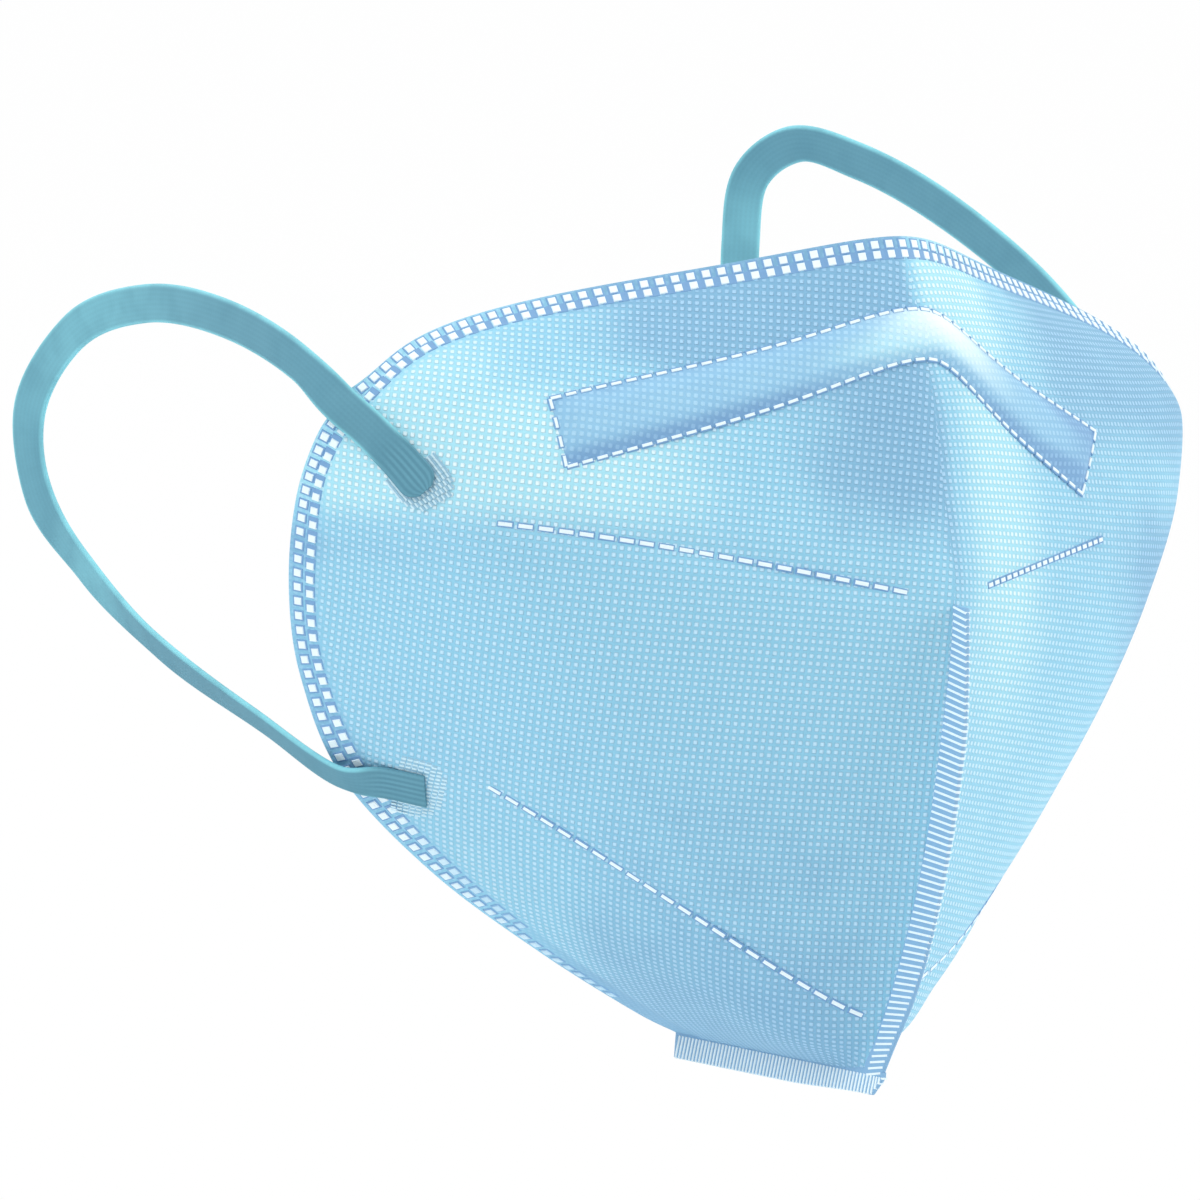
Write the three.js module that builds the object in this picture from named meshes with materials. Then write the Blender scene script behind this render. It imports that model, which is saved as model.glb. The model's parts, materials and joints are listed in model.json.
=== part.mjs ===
// A disposable vertical-fold respirator, opened out as it is worn, in millimetres.
//
// +Z is up, the front fold faces -Y and the wearer's right side is -X. The origin is the face seat: the point on
// the middle plane halfway between the top edge over the nose bridge and the back of the chin seam.
//
// Two mirrored side panels are one folded cloth shell. Each panel is swept through the sections below, from the
// seam under the chin up to the top edge over the nose. A place on a panel is given by two lengths: level, along
// the front fold from the foot of the fold upwards, and reach, along the cloth from the fold towards the ear.
// A negative reach lies on the wearer's right panel.
import * as THREE from "three";

// ---------------------------------------------------------------- driving dimensions
const CLOTH = 1.2; // the laminated nonwoven of a panel
const GAP = 0.3; // clearance kept between neighbouring pieces
const COLUMNS = 15; // grid cells from the fold to the ear edge of a panel
const ROWS = 25; // grid cells from the chin seam to the top edge
const CROWDING = 1.25; // over 1, the columns stand closer together beside the fold

// The sections of a panel, from the chin seam to the top edge: one row of each table makes one section.
// FRONTS says where it starts on the fold, and leave is its direction there in plan, in degrees from straight
// back. BACKS says where it ends at the edge on the face, and arrive is its direction there. reach and pull are
// the lengths of the section's two handles, as shares of its chord; lift and drop raise those handles. round is
// how softly the fold turns at that section.
const FRONTS = [
  { frontY: -32.0, frontZ: -71.5, leave: 0, reach: 0.32, lift: 0.0, round: 0.0 },
  { frontY: -34.5, frontZ: -64.0, leave: 59, reach: 0.30, lift: -4.0, round: 0.0 },
  { frontY: -37.5, frontZ: -55.5, leave: 61, reach: 0.36, lift: -3.5, round: 0.0 },
  { frontY: -41.0, frontZ: -42.5, leave: 61, reach: 0.44, lift: -2.5, round: 0.0 },
  { frontY: -43.5, frontZ: -27.5, leave: 63, reach: 0.52, lift: -1.0, round: 0.0 },
  { frontY: -45.0, frontZ: -8.0, leave: 67, reach: 0.62, lift: 1.0, round: 0.0 },
  { frontY: -45.3, frontZ: 11.5, leave: 70, reach: 0.72, lift: 4.0, round: 1.5 },
  { frontY: -40.0, frontZ: 33.0, leave: 70, reach: 0.82, lift: 7.0, round: 5.0 },
  { frontY: -34.5, frontZ: 54.0, leave: 65, reach: 0.88, lift: 9.5, round: 9.0 },
  { frontY: -27.5, frontZ: 72.8, leave: 58, reach: 0.92, lift: 11.0, round: 12.0 },
];
const BACKS = [
  { backX: 0.0, backY: 21.5, backZ: -72.5, arrive: 0, pull: 0.32, drop: 0.0 },
  { backX: 11.0, backY: 20.0, backZ: -68.5, arrive: -7, pull: 0.66, drop: 2.5 },
  { backX: 32.0, backY: 20.0, backZ: -58.5, arrive: 4, pull: 0.62, drop: 3.0 },
  { backX: 54.5, backY: 23.5, backZ: -45.0, arrive: 18, pull: 0.56, drop: 3.5 },
  { backX: 73.0, backY: 27.5, backZ: -29.0, arrive: 25, pull: 0.50, drop: 2.5 },
  { backX: 83.5, backY: 28.5, backZ: -11.5, arrive: 24, pull: 0.44, drop: 1.5 },
  { backX: 89.0, backY: 27.0, backZ: 4.0, arrive: 24, pull: 0.36, drop: 0.5 },
  { backX: 93.5, backY: 21.5, backZ: 20.5, arrive: 24, pull: 0.26, drop: 1.0 },
  { backX: 94.5, backY: 15.5, backZ: 33.0, arrive: 34, pull: 0.18, drop: 4.0 },
  { backX: 90.5, backY: 13.0, backZ: 41.0, arrive: 56, pull: 0.12, drop: 5.5 },
];
const SECTIONS = FRONTS.map((front, row) => ({ ...front, ...BACKS[row] }));

// The raised strip over the hidden nose clip, with the levels of its borders at the fold. Each row is one end:
// how far each border reaches on that panel, and the level it has come down to there.
const STRIP = {
  clear: 0.45,
  thickness: 0.9,
  upperLevel: 136,
  lowerLevel: 127,
  cell: 5,
  ends: [
    { side: -1, upperReach: 69.5, lowerReach: 68, upperEnd: 124, lowerEnd: 109.5 },
    { side: 1, upperReach: 53, lowerReach: 44, upperEnd: 116.5, lowerEnd: 104 },
  ],
};

// The pressed weld fins that close the front fold and the chin.
const FIN = {
  thickness: 1.6,
  frontDepth: 4.8,
  frontTop: 85, // level where the front fin starts, under the tip of the nose
  chinDepth: 4.0,
  chinFrontDepth: 2.8,
  chinTaper: 6, // length over which the chin fin narrows towards the front fold
  step: 4,
};

// The ear loops: knitted flat elastic, laid on the outside of a panel at both ends and free between them.
// An anchor is the stretch from the cut end of the band to where it leaves the cloth, each row with its clearance
// over the panel. A free station is a point of the band's middle line; x is its distance from the middle plane
// and turn is how far, in degrees, the band's face is twisted about its length from facing out to the side.
const BAND = { width: 6.8, thickness: 1.0, corner: 0.3, step: 3.2 };
const RIGHT_UPPER_ANCHOR = [
  { reach: 92.5, level: 107.0, clear: 0.4 },
  { reach: 97.0, level: 115.5, clear: 0.4 },
  { reach: 101.2, level: 124.5, clear: 0.6 },
  { reach: 105.0, level: 134.5, clear: 1.4 },
];
const LEFT_UPPER_ANCHOR = [
  { reach: 102.5, level: 86.5, clear: 0.4 },
  { reach: 106.5, level: 93.5, clear: 0.4 },
  { reach: 110.5, level: 101.0, clear: 0.5 },
  { reach: 113.6, level: 108.5, clear: 1.6 },
];
const LOWER_ANCHOR = [
  { reach: 105.5, level: 47.5, clear: 1.2 },
  { reach: 97.5, level: 46.3, clear: 0.5 },
  { reach: 89.5, level: 45.2, clear: 0.4 },
];
const RIGHT_LOOP = [
  { x: 95.0, y: 22.0, z: 44.5, turn: 0 },
  { x: 91.0, y: 49.0, z: 48.5, turn: 0 },
  { x: 86.0, y: 78.0, z: 47.0, turn: 0 },
  { x: 83.0, y: 101.0, z: 39.0, turn: 8 },
  { x: 80.0, y: 115.5, z: 23.0, turn: 15 },
  { x: 79.0, y: 112.5, z: 9.5, turn: 5 },
  { x: 79.0, y: 98.0, z: -2.0, turn: -12 },
  { x: 80.0, y: 74.0, z: -13.0, turn: -25 },
  { x: 81.0, y: 41.5, z: -22.0, turn: -32 },
];
const LEFT_LOOP = [
  { x: 97.2, y: 27.0, z: 29.0, turn: 0 },
  { x: 95.5, y: 40.0, z: 42.0, turn: 0 },
  { x: 91.5, y: 55.0, z: 54.0, turn: 0 },
  { x: 87.0, y: 79.0, z: 65.0, turn: 0 },
  { x: 84.0, y: 98.5, z: 70.0, turn: -5 },
  { x: 81.0, y: 112.5, z: 71.0, turn: -25 },
  { x: 79.0, y: 121.5, z: 64.0, turn: -48 },
  { x: 78.0, y: 121.5, z: 52.5, turn: -50 },
  { x: 77.5, y: 117.5, z: 35.0, turn: -40 },
  { x: 77.5, y: 106.0, z: 14.0, turn: -25 },
  { x: 79.0, y: 89.5, z: -4.5, turn: -20 },
  { x: 81.0, y: 66.5, z: -18.5, turn: -32 },
];

// ---------------------------------------------------------------- the panel surface
const radians = THREE.MathUtils.degToRad;

// Level of each section: the length of the front fold from the chin seam up to it.
const LEVELS = SECTIONS.map(() => 0);
for (let i = 1; i < SECTIONS.length; i++) {
  const [low, high] = [SECTIONS[i - 1], SECTIONS[i]];
  LEVELS[i] = LEVELS[i - 1] + Math.hypot(high.frontY - low.frontY, high.frontZ - low.frontZ);
}
const TOP_LEVEL = LEVELS.at(-1);

// The section at any level: every column of the table on a smooth curve through its rows.
function sectionAt(level) {
  const last = SECTIONS.length - 1;
  const i = Math.min(last - 1, Math.max(0, LEVELS.findIndex((high) => high > level) - 1));
  const from = level >= TOP_LEVEL ? last - 1 : i;
  const span = LEVELS[from + 1] - LEVELS[from];
  const t = (level - LEVELS[from]) / span;
  const section = {};
  for (const key of Object.keys(SECTIONS[0])) {
    const slope = (k) => {
      const [a, b] = [Math.max(0, k - 1), Math.min(last, k + 1)];
      return (SECTIONS[b][key] - SECTIONS[a][key]) / (LEVELS[b] - LEVELS[a]);
    };
    const [p, q] = [SECTIONS[from][key], SECTIONS[from + 1][key]];
    section[key] =
      (2 * t ** 3 - 3 * t ** 2 + 1) * p +
      (t ** 3 - 2 * t ** 2 + t) * span * slope(from) +
      (3 * t ** 2 - 2 * t ** 3) * q +
      (t ** 3 - t ** 2) * span * slope(from + 1);
  }
  return section;
}

// The curve of a section on the wearer's left panel, from the fold to the face edge.
const SECTION_CURVES = new Map();
function sectionCurve(level) {
  const key = level.toFixed(4);
  if (SECTION_CURVES.has(key)) return SECTION_CURVES.get(key);
  const s = sectionAt(level);
  const front = new THREE.Vector3(0, s.frontY, s.frontZ);
  const back = new THREE.Vector3(s.backX, s.backY, s.backZ);
  const chord = front.distanceTo(back);
  const rise = back.z - front.z;
  const leave = new THREE.Vector3(Math.sin(radians(s.leave)), Math.cos(radians(s.leave)), 0);
  const arrive = new THREE.Vector3(Math.sin(radians(s.arrive)), Math.cos(radians(s.arrive)), 0);
  const frontHandle = front.clone().addScaledVector(leave, s.reach * chord);
  const backHandle = back.clone().addScaledVector(arrive, -s.pull * chord);
  frontHandle.z += s.reach * rise + s.lift;
  backHandle.z += s.drop - s.pull * rise;
  const curve = new THREE.CubicBezierCurve3(front, frontHandle, backHandle, back);
  curve.arcLengthDivisions = 120;
  const result = { curve, length: curve.getLength(), round: s.round, turn: leave.y };
  SECTION_CURVES.set(key, result);
  return result;
}

const panelLength = (level) => sectionCurve(level).length;

// The outer face of the cloth at a reach and level.
function panelPoint(reach, level) {
  const { curve, length, round, turn } = sectionCurve(level);
  const along = Math.min(Math.abs(reach), length);
  const point = curve.getPointAt(along / length);
  point.y += turn * (Math.hypot(along, round) - along);
  if (reach < 0) point.x = -point.x;
  return point;
}

// The outward normal of the cloth at a reach and level.
function panelNormal(reach, level) {
  const h = 0.8;
  const span = panelLength(level) - h;
  const r = THREE.MathUtils.clamp(reach, -span, span);
  const l = THREE.MathUtils.clamp(level, h, TOP_LEVEL - h);
  const along = panelPoint(r + h, l).sub(panelPoint(r - h, l));
  const up = panelPoint(r, l + h).sub(panelPoint(r, l - h));
  return along.cross(up).normalize();
}

// A point held at a height over the outer face.
function overPanel(reach, level, height) {
  return panelPoint(reach, level).addScaledVector(panelNormal(reach, level), height);
}

// ---------------------------------------------------------------- solids from open surfaces
function geometryOf(points, triangles) {
  const geometry = new THREE.BufferGeometry();
  const coordinates = points.flatMap((p) => p.toArray());
  geometry.setAttribute("position", new THREE.Float32BufferAttribute(coordinates, 3));
  geometry.setIndex(triangles.flat());
  geometry.computeVertexNormals();
  return geometry;
}

// A surface of triangles facing out, thickened inwards to one closed solid, mitred where it folds.
function thicken(points, triangles, thickness) {
  const facing = triangles.map(([a, b, c]) => {
    const ab = points[b].clone().sub(points[a]);
    return ab.cross(points[c].clone().sub(points[a])).normalize();
  });
  const sums = points.map(() => new THREE.Vector3());
  triangles.forEach((triangle, f) => triangle.forEach((v) => sums[v].add(facing[f])));
  sums.forEach((sum) => sum.normalize());
  const square = points.map(() => 1);
  triangles.forEach((triangle, f) =>
    triangle.forEach((v) => (square[v] = Math.min(square[v], sums[v].dot(facing[f])))),
  );
  const inner = points.map((p, v) =>
    p.clone().addScaledVector(sums[v], -thickness / Math.max(square[v], 0.6)),
  );
  const n = points.length;
  const all = [...triangles, ...triangles.map(([a, b, c]) => [n + a, n + c, n + b])];
  const edges = new Set(triangles.flatMap(([a, b, c]) => [`${a},${b}`, `${b},${c}`, `${c},${a}`]));
  for (const edge of edges) {
    const [a, b] = edge.split(",").map(Number);
    if (!edges.has(`${b},${a}`)) all.push([b, a, n + a], [b, n + a, n + b]);
  }
  return geometryOf([...points, ...inner], all);
}

// A solid swept through closed rings of equal count, capped at both ends.
function sweep(rings) {
  const count = rings[0].length;
  const triangles = [];
  for (let r = 0; r + 1 < rings.length; r++) {
    for (let k = 0; k < count; k++) {
      const [a, b] = [r * count + k, r * count + ((k + 1) % count)];
      triangles.push([a, b, a + count], [b, b + count, a + count]);
    }
  }
  const last = (rings.length - 1) * count;
  for (let k = 1; k + 1 < count; k++) {
    triangles.push([0, k + 1, k], [last, last + k, last + k + 1]);
  }
  return geometryOf(rings.flat(), triangles);
}

// ---------------------------------------------------------------- the pieces
// Both panels with the fold between them, as one shell that is open towards the face.
function maskBody() {
  const points = [];
  const index = new Map();
  const vertex = (side, i, j) => {
    const level = (TOP_LEVEL * j) / ROWS;
    const key = i === 0 || j === 0 ? `${i},${j}` : `${side},${i},${j}`;
    if (!index.has(key)) {
      index.set(key, points.length);
      points.push(panelPoint(side * panelLength(level) * (i / COLUMNS) ** CROWDING, level));
    }
    return index.get(key);
  };
  const triangles = [];
  for (const side of [-1, 1]) {
    for (let j = 0; j < ROWS; j++) {
      for (let i = 0; i < COLUMNS; i++) {
        const [a, b] = [vertex(side, i, j), vertex(side, i + 1, j)];
        const [c, d] = [vertex(side, i + 1, j + 1), vertex(side, i, j + 1)];
        if (side > 0) triangles.push([a, b, c], [a, c, d]);
        else triangles.push([a, c, b], [a, d, c]);
      }
    }
  }
  return thicken(points, triangles, CLOTH);
}

// The strip over the nose clip, which crosses the fold.
function noseStrip() {
  const across = 4;
  const stations = STRIP.ends.flatMap((end) => {
    const cells = Math.round(end.upperReach / STRIP.cell);
    const shares = Array.from({ length: cells + 1 }, (_, i) => i / cells);
    return (end.side < 0 ? shares.reverse() : shares.slice(1)).map((share) => [end, share]);
  });
  const points = [];
  for (const [end, share] of stations) {
    const low = THREE.MathUtils.lerp(STRIP.lowerLevel, end.lowerEnd, share);
    const high = THREE.MathUtils.lerp(STRIP.upperLevel, end.upperEnd, share);
    for (let j = 0; j <= across; j++) {
      const level = THREE.MathUtils.lerp(low, high, j / across);
      const reach = share * THREE.MathUtils.lerp(end.lowerReach, end.upperReach, j / across);
      points.push(overPanel(end.side * reach, level, STRIP.clear + STRIP.thickness));
    }
  }
  const triangles = [];
  for (let i = 0; i + 1 < stations.length; i++) {
    for (let j = 0; j < across; j++) {
      const a = i * (across + 1) + j;
      const b = a + across + 1;
      triangles.push([a, b, b + 1], [a, b + 1, a + 1]);
    }
  }
  return thicken(points, triangles, STRIP.thickness);
}

// A flat fin standing in the middle plane, from an outline of [y, z] points.
function fin(outline) {
  const shape = new THREE.Shape(outline.map(([y, z]) => new THREE.Vector2(y, z)));
  const geometry = new THREE.ExtrudeGeometry(shape, { depth: FIN.thickness, bevelEnabled: false, steps: 1 });
  const yzPlane = new THREE.Matrix4().makeBasis(
    new THREE.Vector3(0, 1, 0),
    new THREE.Vector3(0, 0, 1),
    new THREE.Vector3(1, 0, 0),
  );
  return geometry.translate(0, 0, -FIN.thickness / 2).applyMatrix4(yzPlane);
}

// A point ahead of the front fold, in the middle plane.
function aheadOfFold(level, distance) {
  const low = panelPoint(0, Math.max(0, level - 1));
  const high = panelPoint(0, Math.min(TOP_LEVEL, level + 1));
  const along = high.sub(low).normalize();
  const fold = panelPoint(0, level);
  return [fold.y - along.z * distance, fold.z + along.y * distance];
}

// A point under the chin seam, in the middle plane, at a share of the way from the front fold to the face.
function underChin(share, distance) {
  const [from, to] = [panelPoint(0, 0), panelPoint(panelLength(0), 0)];
  const along = to.clone().sub(from).normalize();
  const seam = from.lerp(to, share);
  return [seam.y + along.z * distance, seam.z - along.y * distance];
}

function frontSeam() {
  const steps = Math.round(FIN.frontTop / FIN.step);
  const levels = Array.from({ length: steps + 1 }, (_, i) => (FIN.frontTop * i) / steps);
  const corner = underChin(0, FIN.chinFrontDepth + GAP);
  return fin([
    ...levels.map((level) => aheadOfFold(level, GAP + FIN.frontDepth)),
    ...levels.map((level) => aheadOfFold(level, GAP)).reverse(),
    [corner[0], underChin(0, GAP)[1]],
    corner,
  ]);
}

function chinSeam() {
  const length = panelLength(0);
  const start = (2 * GAP) / length;
  const full = FIN.chinTaper / length;
  return fin([
    underChin(start, GAP),
    underChin(start, GAP + FIN.chinFrontDepth),
    underChin(full, GAP + FIN.chinDepth),
    underChin(1, GAP + FIN.chinDepth),
    underChin(1, GAP),
  ]);
}

// An ear loop: the band lies on the panel at its two anchors and runs free through its stations.
function earLoop(side, upperAnchor, stations) {
  const path = [];
  const faces = [];
  const lay = ({ reach, level, clear }) => {
    path.push(overPanel(side * reach, level, clear + BAND.thickness / 2));
    faces.push({ normal: panelNormal(side * reach, level) });
  };
  upperAnchor.forEach(lay);
  for (const { x, y, z, turn } of stations) {
    path.push(new THREE.Vector3(side * x, y, z));
    faces.push({ turn: side * radians(turn) });
  }
  LOWER_ANCHOR.forEach(lay);
  const curve = new THREE.CatmullRomCurve3(path, false, "centripetal");
  const lastSpan = path.length - 1;
  const outward = new THREE.Vector3(side, 0, 0);

  // The band's face at a station, square to the band there.
  const facing = faces.map(({ normal, turn }, k) => {
    const tangent = curve.getTangent(k / lastSpan);
    const face = (normal ?? outward).clone();
    face.addScaledVector(tangent, -face.dot(tangent)).normalize();
    return turn === undefined ? face : face.applyAxisAngle(tangent, turn);
  });

  const spanSteps = path.slice(1).map((p, k) => Math.max(2, Math.round(p.distanceTo(path[k]) / BAND.step)));
  const rings = [];
  spanSteps.forEach((steps, k) => {
    for (let i = 0; i < steps + (k === lastSpan - 1 ? 1 : 0); i++) {
      const share = i / steps;
      const t = (k + share) / lastSpan;
      const centre = curve.getPoint(t);
      const tangent = curve.getTangent(t);
      const face = facing[k].clone().lerp(facing[k + 1], share * share * (3 - 2 * share));
      face.addScaledVector(tangent, -face.dot(tangent)).normalize();
      rings.push(bandSection(centre, tangent, face));
    }
  });
  return sweep(rings);
}

// The band's flat section with broken corners.
function bandSection(centre, tangent, face) {
  const across = face.clone().cross(tangent).normalize();
  const [half, thick, corner] = [BAND.width / 2, BAND.thickness / 2, BAND.corner];
  const outline = [
    [half, -thick + corner],
    [half, thick - corner],
    [half - corner, thick],
    [corner - half, thick],
    [-half, thick - corner],
    [-half, corner - thick],
    [corner - half, -thick],
    [half - corner, -thick],
  ];
  return outline.map(([a, b]) => centre.clone().addScaledVector(across, a).addScaledVector(face, b));
}

// ---------------------------------------------------------------- the assembly
const cloth = new THREE.MeshStandardMaterial({ color: 0x9fd0e6, roughness: 0.85, metalness: 0 });
const stripCloth = new THREE.MeshStandardMaterial({ color: 0xa0cfe9, roughness: 0.8, metalness: 0 });
const weld = new THREE.MeshStandardMaterial({ color: 0xa8cde4, roughness: 0.7, metalness: 0 });
const elastic = new THREE.MeshStandardMaterial({ color: 0x6fa8b6, roughness: 0.8, metalness: 0 });

const respirator = new THREE.Group();
function add(name, geometry, material) {
  const mesh = new THREE.Mesh(geometry, material);
  mesh.name = name;
  respirator.add(mesh);
}

add("mask_body", maskBody(), cloth);
add("nose_strip", noseStrip(), stripCloth);
add("front_seam", frontSeam(), weld);
add("chin_seam", chinSeam(), weld);
add("ear_loop_right", earLoop(-1, RIGHT_UPPER_ANCHOR, RIGHT_LOOP), elastic);
add("ear_loop_left", earLoop(1, LEFT_UPPER_ANCHOR, LEFT_LOOP), elastic);

export default respirator;
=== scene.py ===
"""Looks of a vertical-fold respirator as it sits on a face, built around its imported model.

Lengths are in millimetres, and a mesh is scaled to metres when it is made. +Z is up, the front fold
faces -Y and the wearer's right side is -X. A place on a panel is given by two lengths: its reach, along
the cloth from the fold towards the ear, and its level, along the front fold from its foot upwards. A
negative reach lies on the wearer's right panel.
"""

import json
import logging
import math
from dataclasses import dataclass, field
from enum import Enum
from typing import NamedTuple, Sequence

import bpy
import numpy as np
from mathutils import Matrix, Vector

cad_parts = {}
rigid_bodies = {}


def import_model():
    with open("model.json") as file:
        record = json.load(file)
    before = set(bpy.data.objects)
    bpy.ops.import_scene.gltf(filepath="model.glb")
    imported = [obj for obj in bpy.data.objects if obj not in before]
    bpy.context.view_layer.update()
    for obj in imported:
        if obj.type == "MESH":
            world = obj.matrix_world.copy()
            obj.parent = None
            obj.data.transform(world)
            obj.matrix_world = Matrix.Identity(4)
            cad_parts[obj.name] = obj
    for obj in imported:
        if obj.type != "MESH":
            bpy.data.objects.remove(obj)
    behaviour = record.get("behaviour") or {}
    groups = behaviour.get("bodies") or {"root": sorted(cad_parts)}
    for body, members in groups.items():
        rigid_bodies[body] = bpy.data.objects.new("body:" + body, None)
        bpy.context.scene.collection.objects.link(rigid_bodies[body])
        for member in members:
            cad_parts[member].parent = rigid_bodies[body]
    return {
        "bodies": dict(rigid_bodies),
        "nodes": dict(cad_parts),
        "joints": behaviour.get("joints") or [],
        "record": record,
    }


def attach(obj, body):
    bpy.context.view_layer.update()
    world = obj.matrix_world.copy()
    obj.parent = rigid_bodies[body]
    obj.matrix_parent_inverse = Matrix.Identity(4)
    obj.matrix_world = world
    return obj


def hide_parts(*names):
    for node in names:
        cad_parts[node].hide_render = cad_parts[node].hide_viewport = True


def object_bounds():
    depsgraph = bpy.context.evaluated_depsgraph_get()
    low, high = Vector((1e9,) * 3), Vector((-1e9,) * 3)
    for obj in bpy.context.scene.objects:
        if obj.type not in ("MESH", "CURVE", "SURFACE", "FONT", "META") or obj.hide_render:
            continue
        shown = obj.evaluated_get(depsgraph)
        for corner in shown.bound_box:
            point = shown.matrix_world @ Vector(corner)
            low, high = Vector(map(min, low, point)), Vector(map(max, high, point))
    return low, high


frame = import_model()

CAD_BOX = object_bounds()
MM = 0.001
BODY = "root"
log = logging.getLogger("respirator")

Colour = tuple[float, float, float, float]
Array = np.ndarray
Piece = bpy.types.Object
Material = bpy.types.Material
Socket = bpy.types.NodeSocket


class Side(Enum):
    """The wearer's sides, as the sign of a reach."""

    RIGHT = -1
    LEFT = 1


def srgb(red: int, green: int, blue: int) -> Colour:
    """Turns a display colour into the linear colour that a shader takes.

    Args:
        red: Red, from 0 to 255.
        green: Green, from 0 to 255.
        blue: Blue, from 0 to 255.

    Returns:
        The linear colour with full alpha.
    """
    shares = (value / 255 for value in (red, green, blue))
    linear = [v / 12.92 if v <= 0.04045 else ((v + 0.055) / 1.055) ** 2.4 for v in shares]
    return (linear[0], linear[1], linear[2], 1.0)


def smooth(low: float, high: float, value: Array) -> Array:
    """A soft step from 0 at low to 1 at high.

    Args:
        low: Where the step starts.
        high: Where the step ends.
        value: The values to take the step of.

    Returns:
        The step, from 0 to 1.
    """
    t = np.clip((value - low) / (high - low), 0.0, 1.0)
    return t * t * (3.0 - 2.0 * t)


def unit(vectors: Array) -> Array:
    """The vectors at length 1."""
    return vectors / np.maximum(np.linalg.norm(vectors, axis=-1, keepdims=True), 1e-9)


# ---------------------------------------------------------------- the panel surface
class Section(NamedTuple):
    """One section of a panel, from the fold to its edge on the face.

    The turns leave and arrive are in degrees from straight back. The handles reach and pull are shares of
    the chord, lift and drop move them up, and round is the radius of the fold.
    """

    front_y: float
    front_z: float
    leave: float
    reach: float
    lift: float
    back_x: float
    back_y: float
    back_z: float
    arrive: float
    pull: float
    drop: float
    round: float


# front_y, front_z, leave, reach, lift, back_x, back_y, back_z, arrive, pull, drop, round
SECTIONS = (
    Section(-32.0, -71.5, 0, 0.32, 0.0, 0.0, 21.5, -72.5, 0, 0.32, 0.0, 0.0),
    Section(-34.5, -64.0, 59, 0.30, -4.0, 11.0, 20.0, -68.5, -7, 0.66, 2.5, 0.0),
    Section(-37.5, -55.5, 61, 0.36, -3.5, 32.0, 20.0, -58.5, 4, 0.62, 3.0, 0.0),
    Section(-41.0, -42.5, 61, 0.44, -2.5, 54.5, 23.5, -45.0, 18, 0.56, 3.5, 0.0),
    Section(-43.5, -27.5, 63, 0.52, -1.0, 73.0, 27.5, -29.0, 25, 0.50, 2.5, 0.0),
    Section(-45.0, -8.0, 67, 0.62, 1.0, 83.5, 28.5, -11.5, 24, 0.44, 1.5, 0.0),
    Section(-45.3, 11.5, 70, 0.72, 4.0, 89.0, 27.0, 4.0, 24, 0.36, 0.5, 1.5),
    Section(-40.0, 33.0, 70, 0.82, 7.0, 93.5, 21.5, 20.5, 24, 0.26, 1.0, 5.0),
    Section(-34.5, 54.0, 65, 0.88, 9.5, 94.5, 15.5, 33.0, 34, 0.18, 4.0, 9.0),
    Section(-27.5, 72.8, 58, 0.92, 11.0, 90.5, 13.0, 41.0, 56, 0.12, 5.5, 12.0),
)


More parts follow.
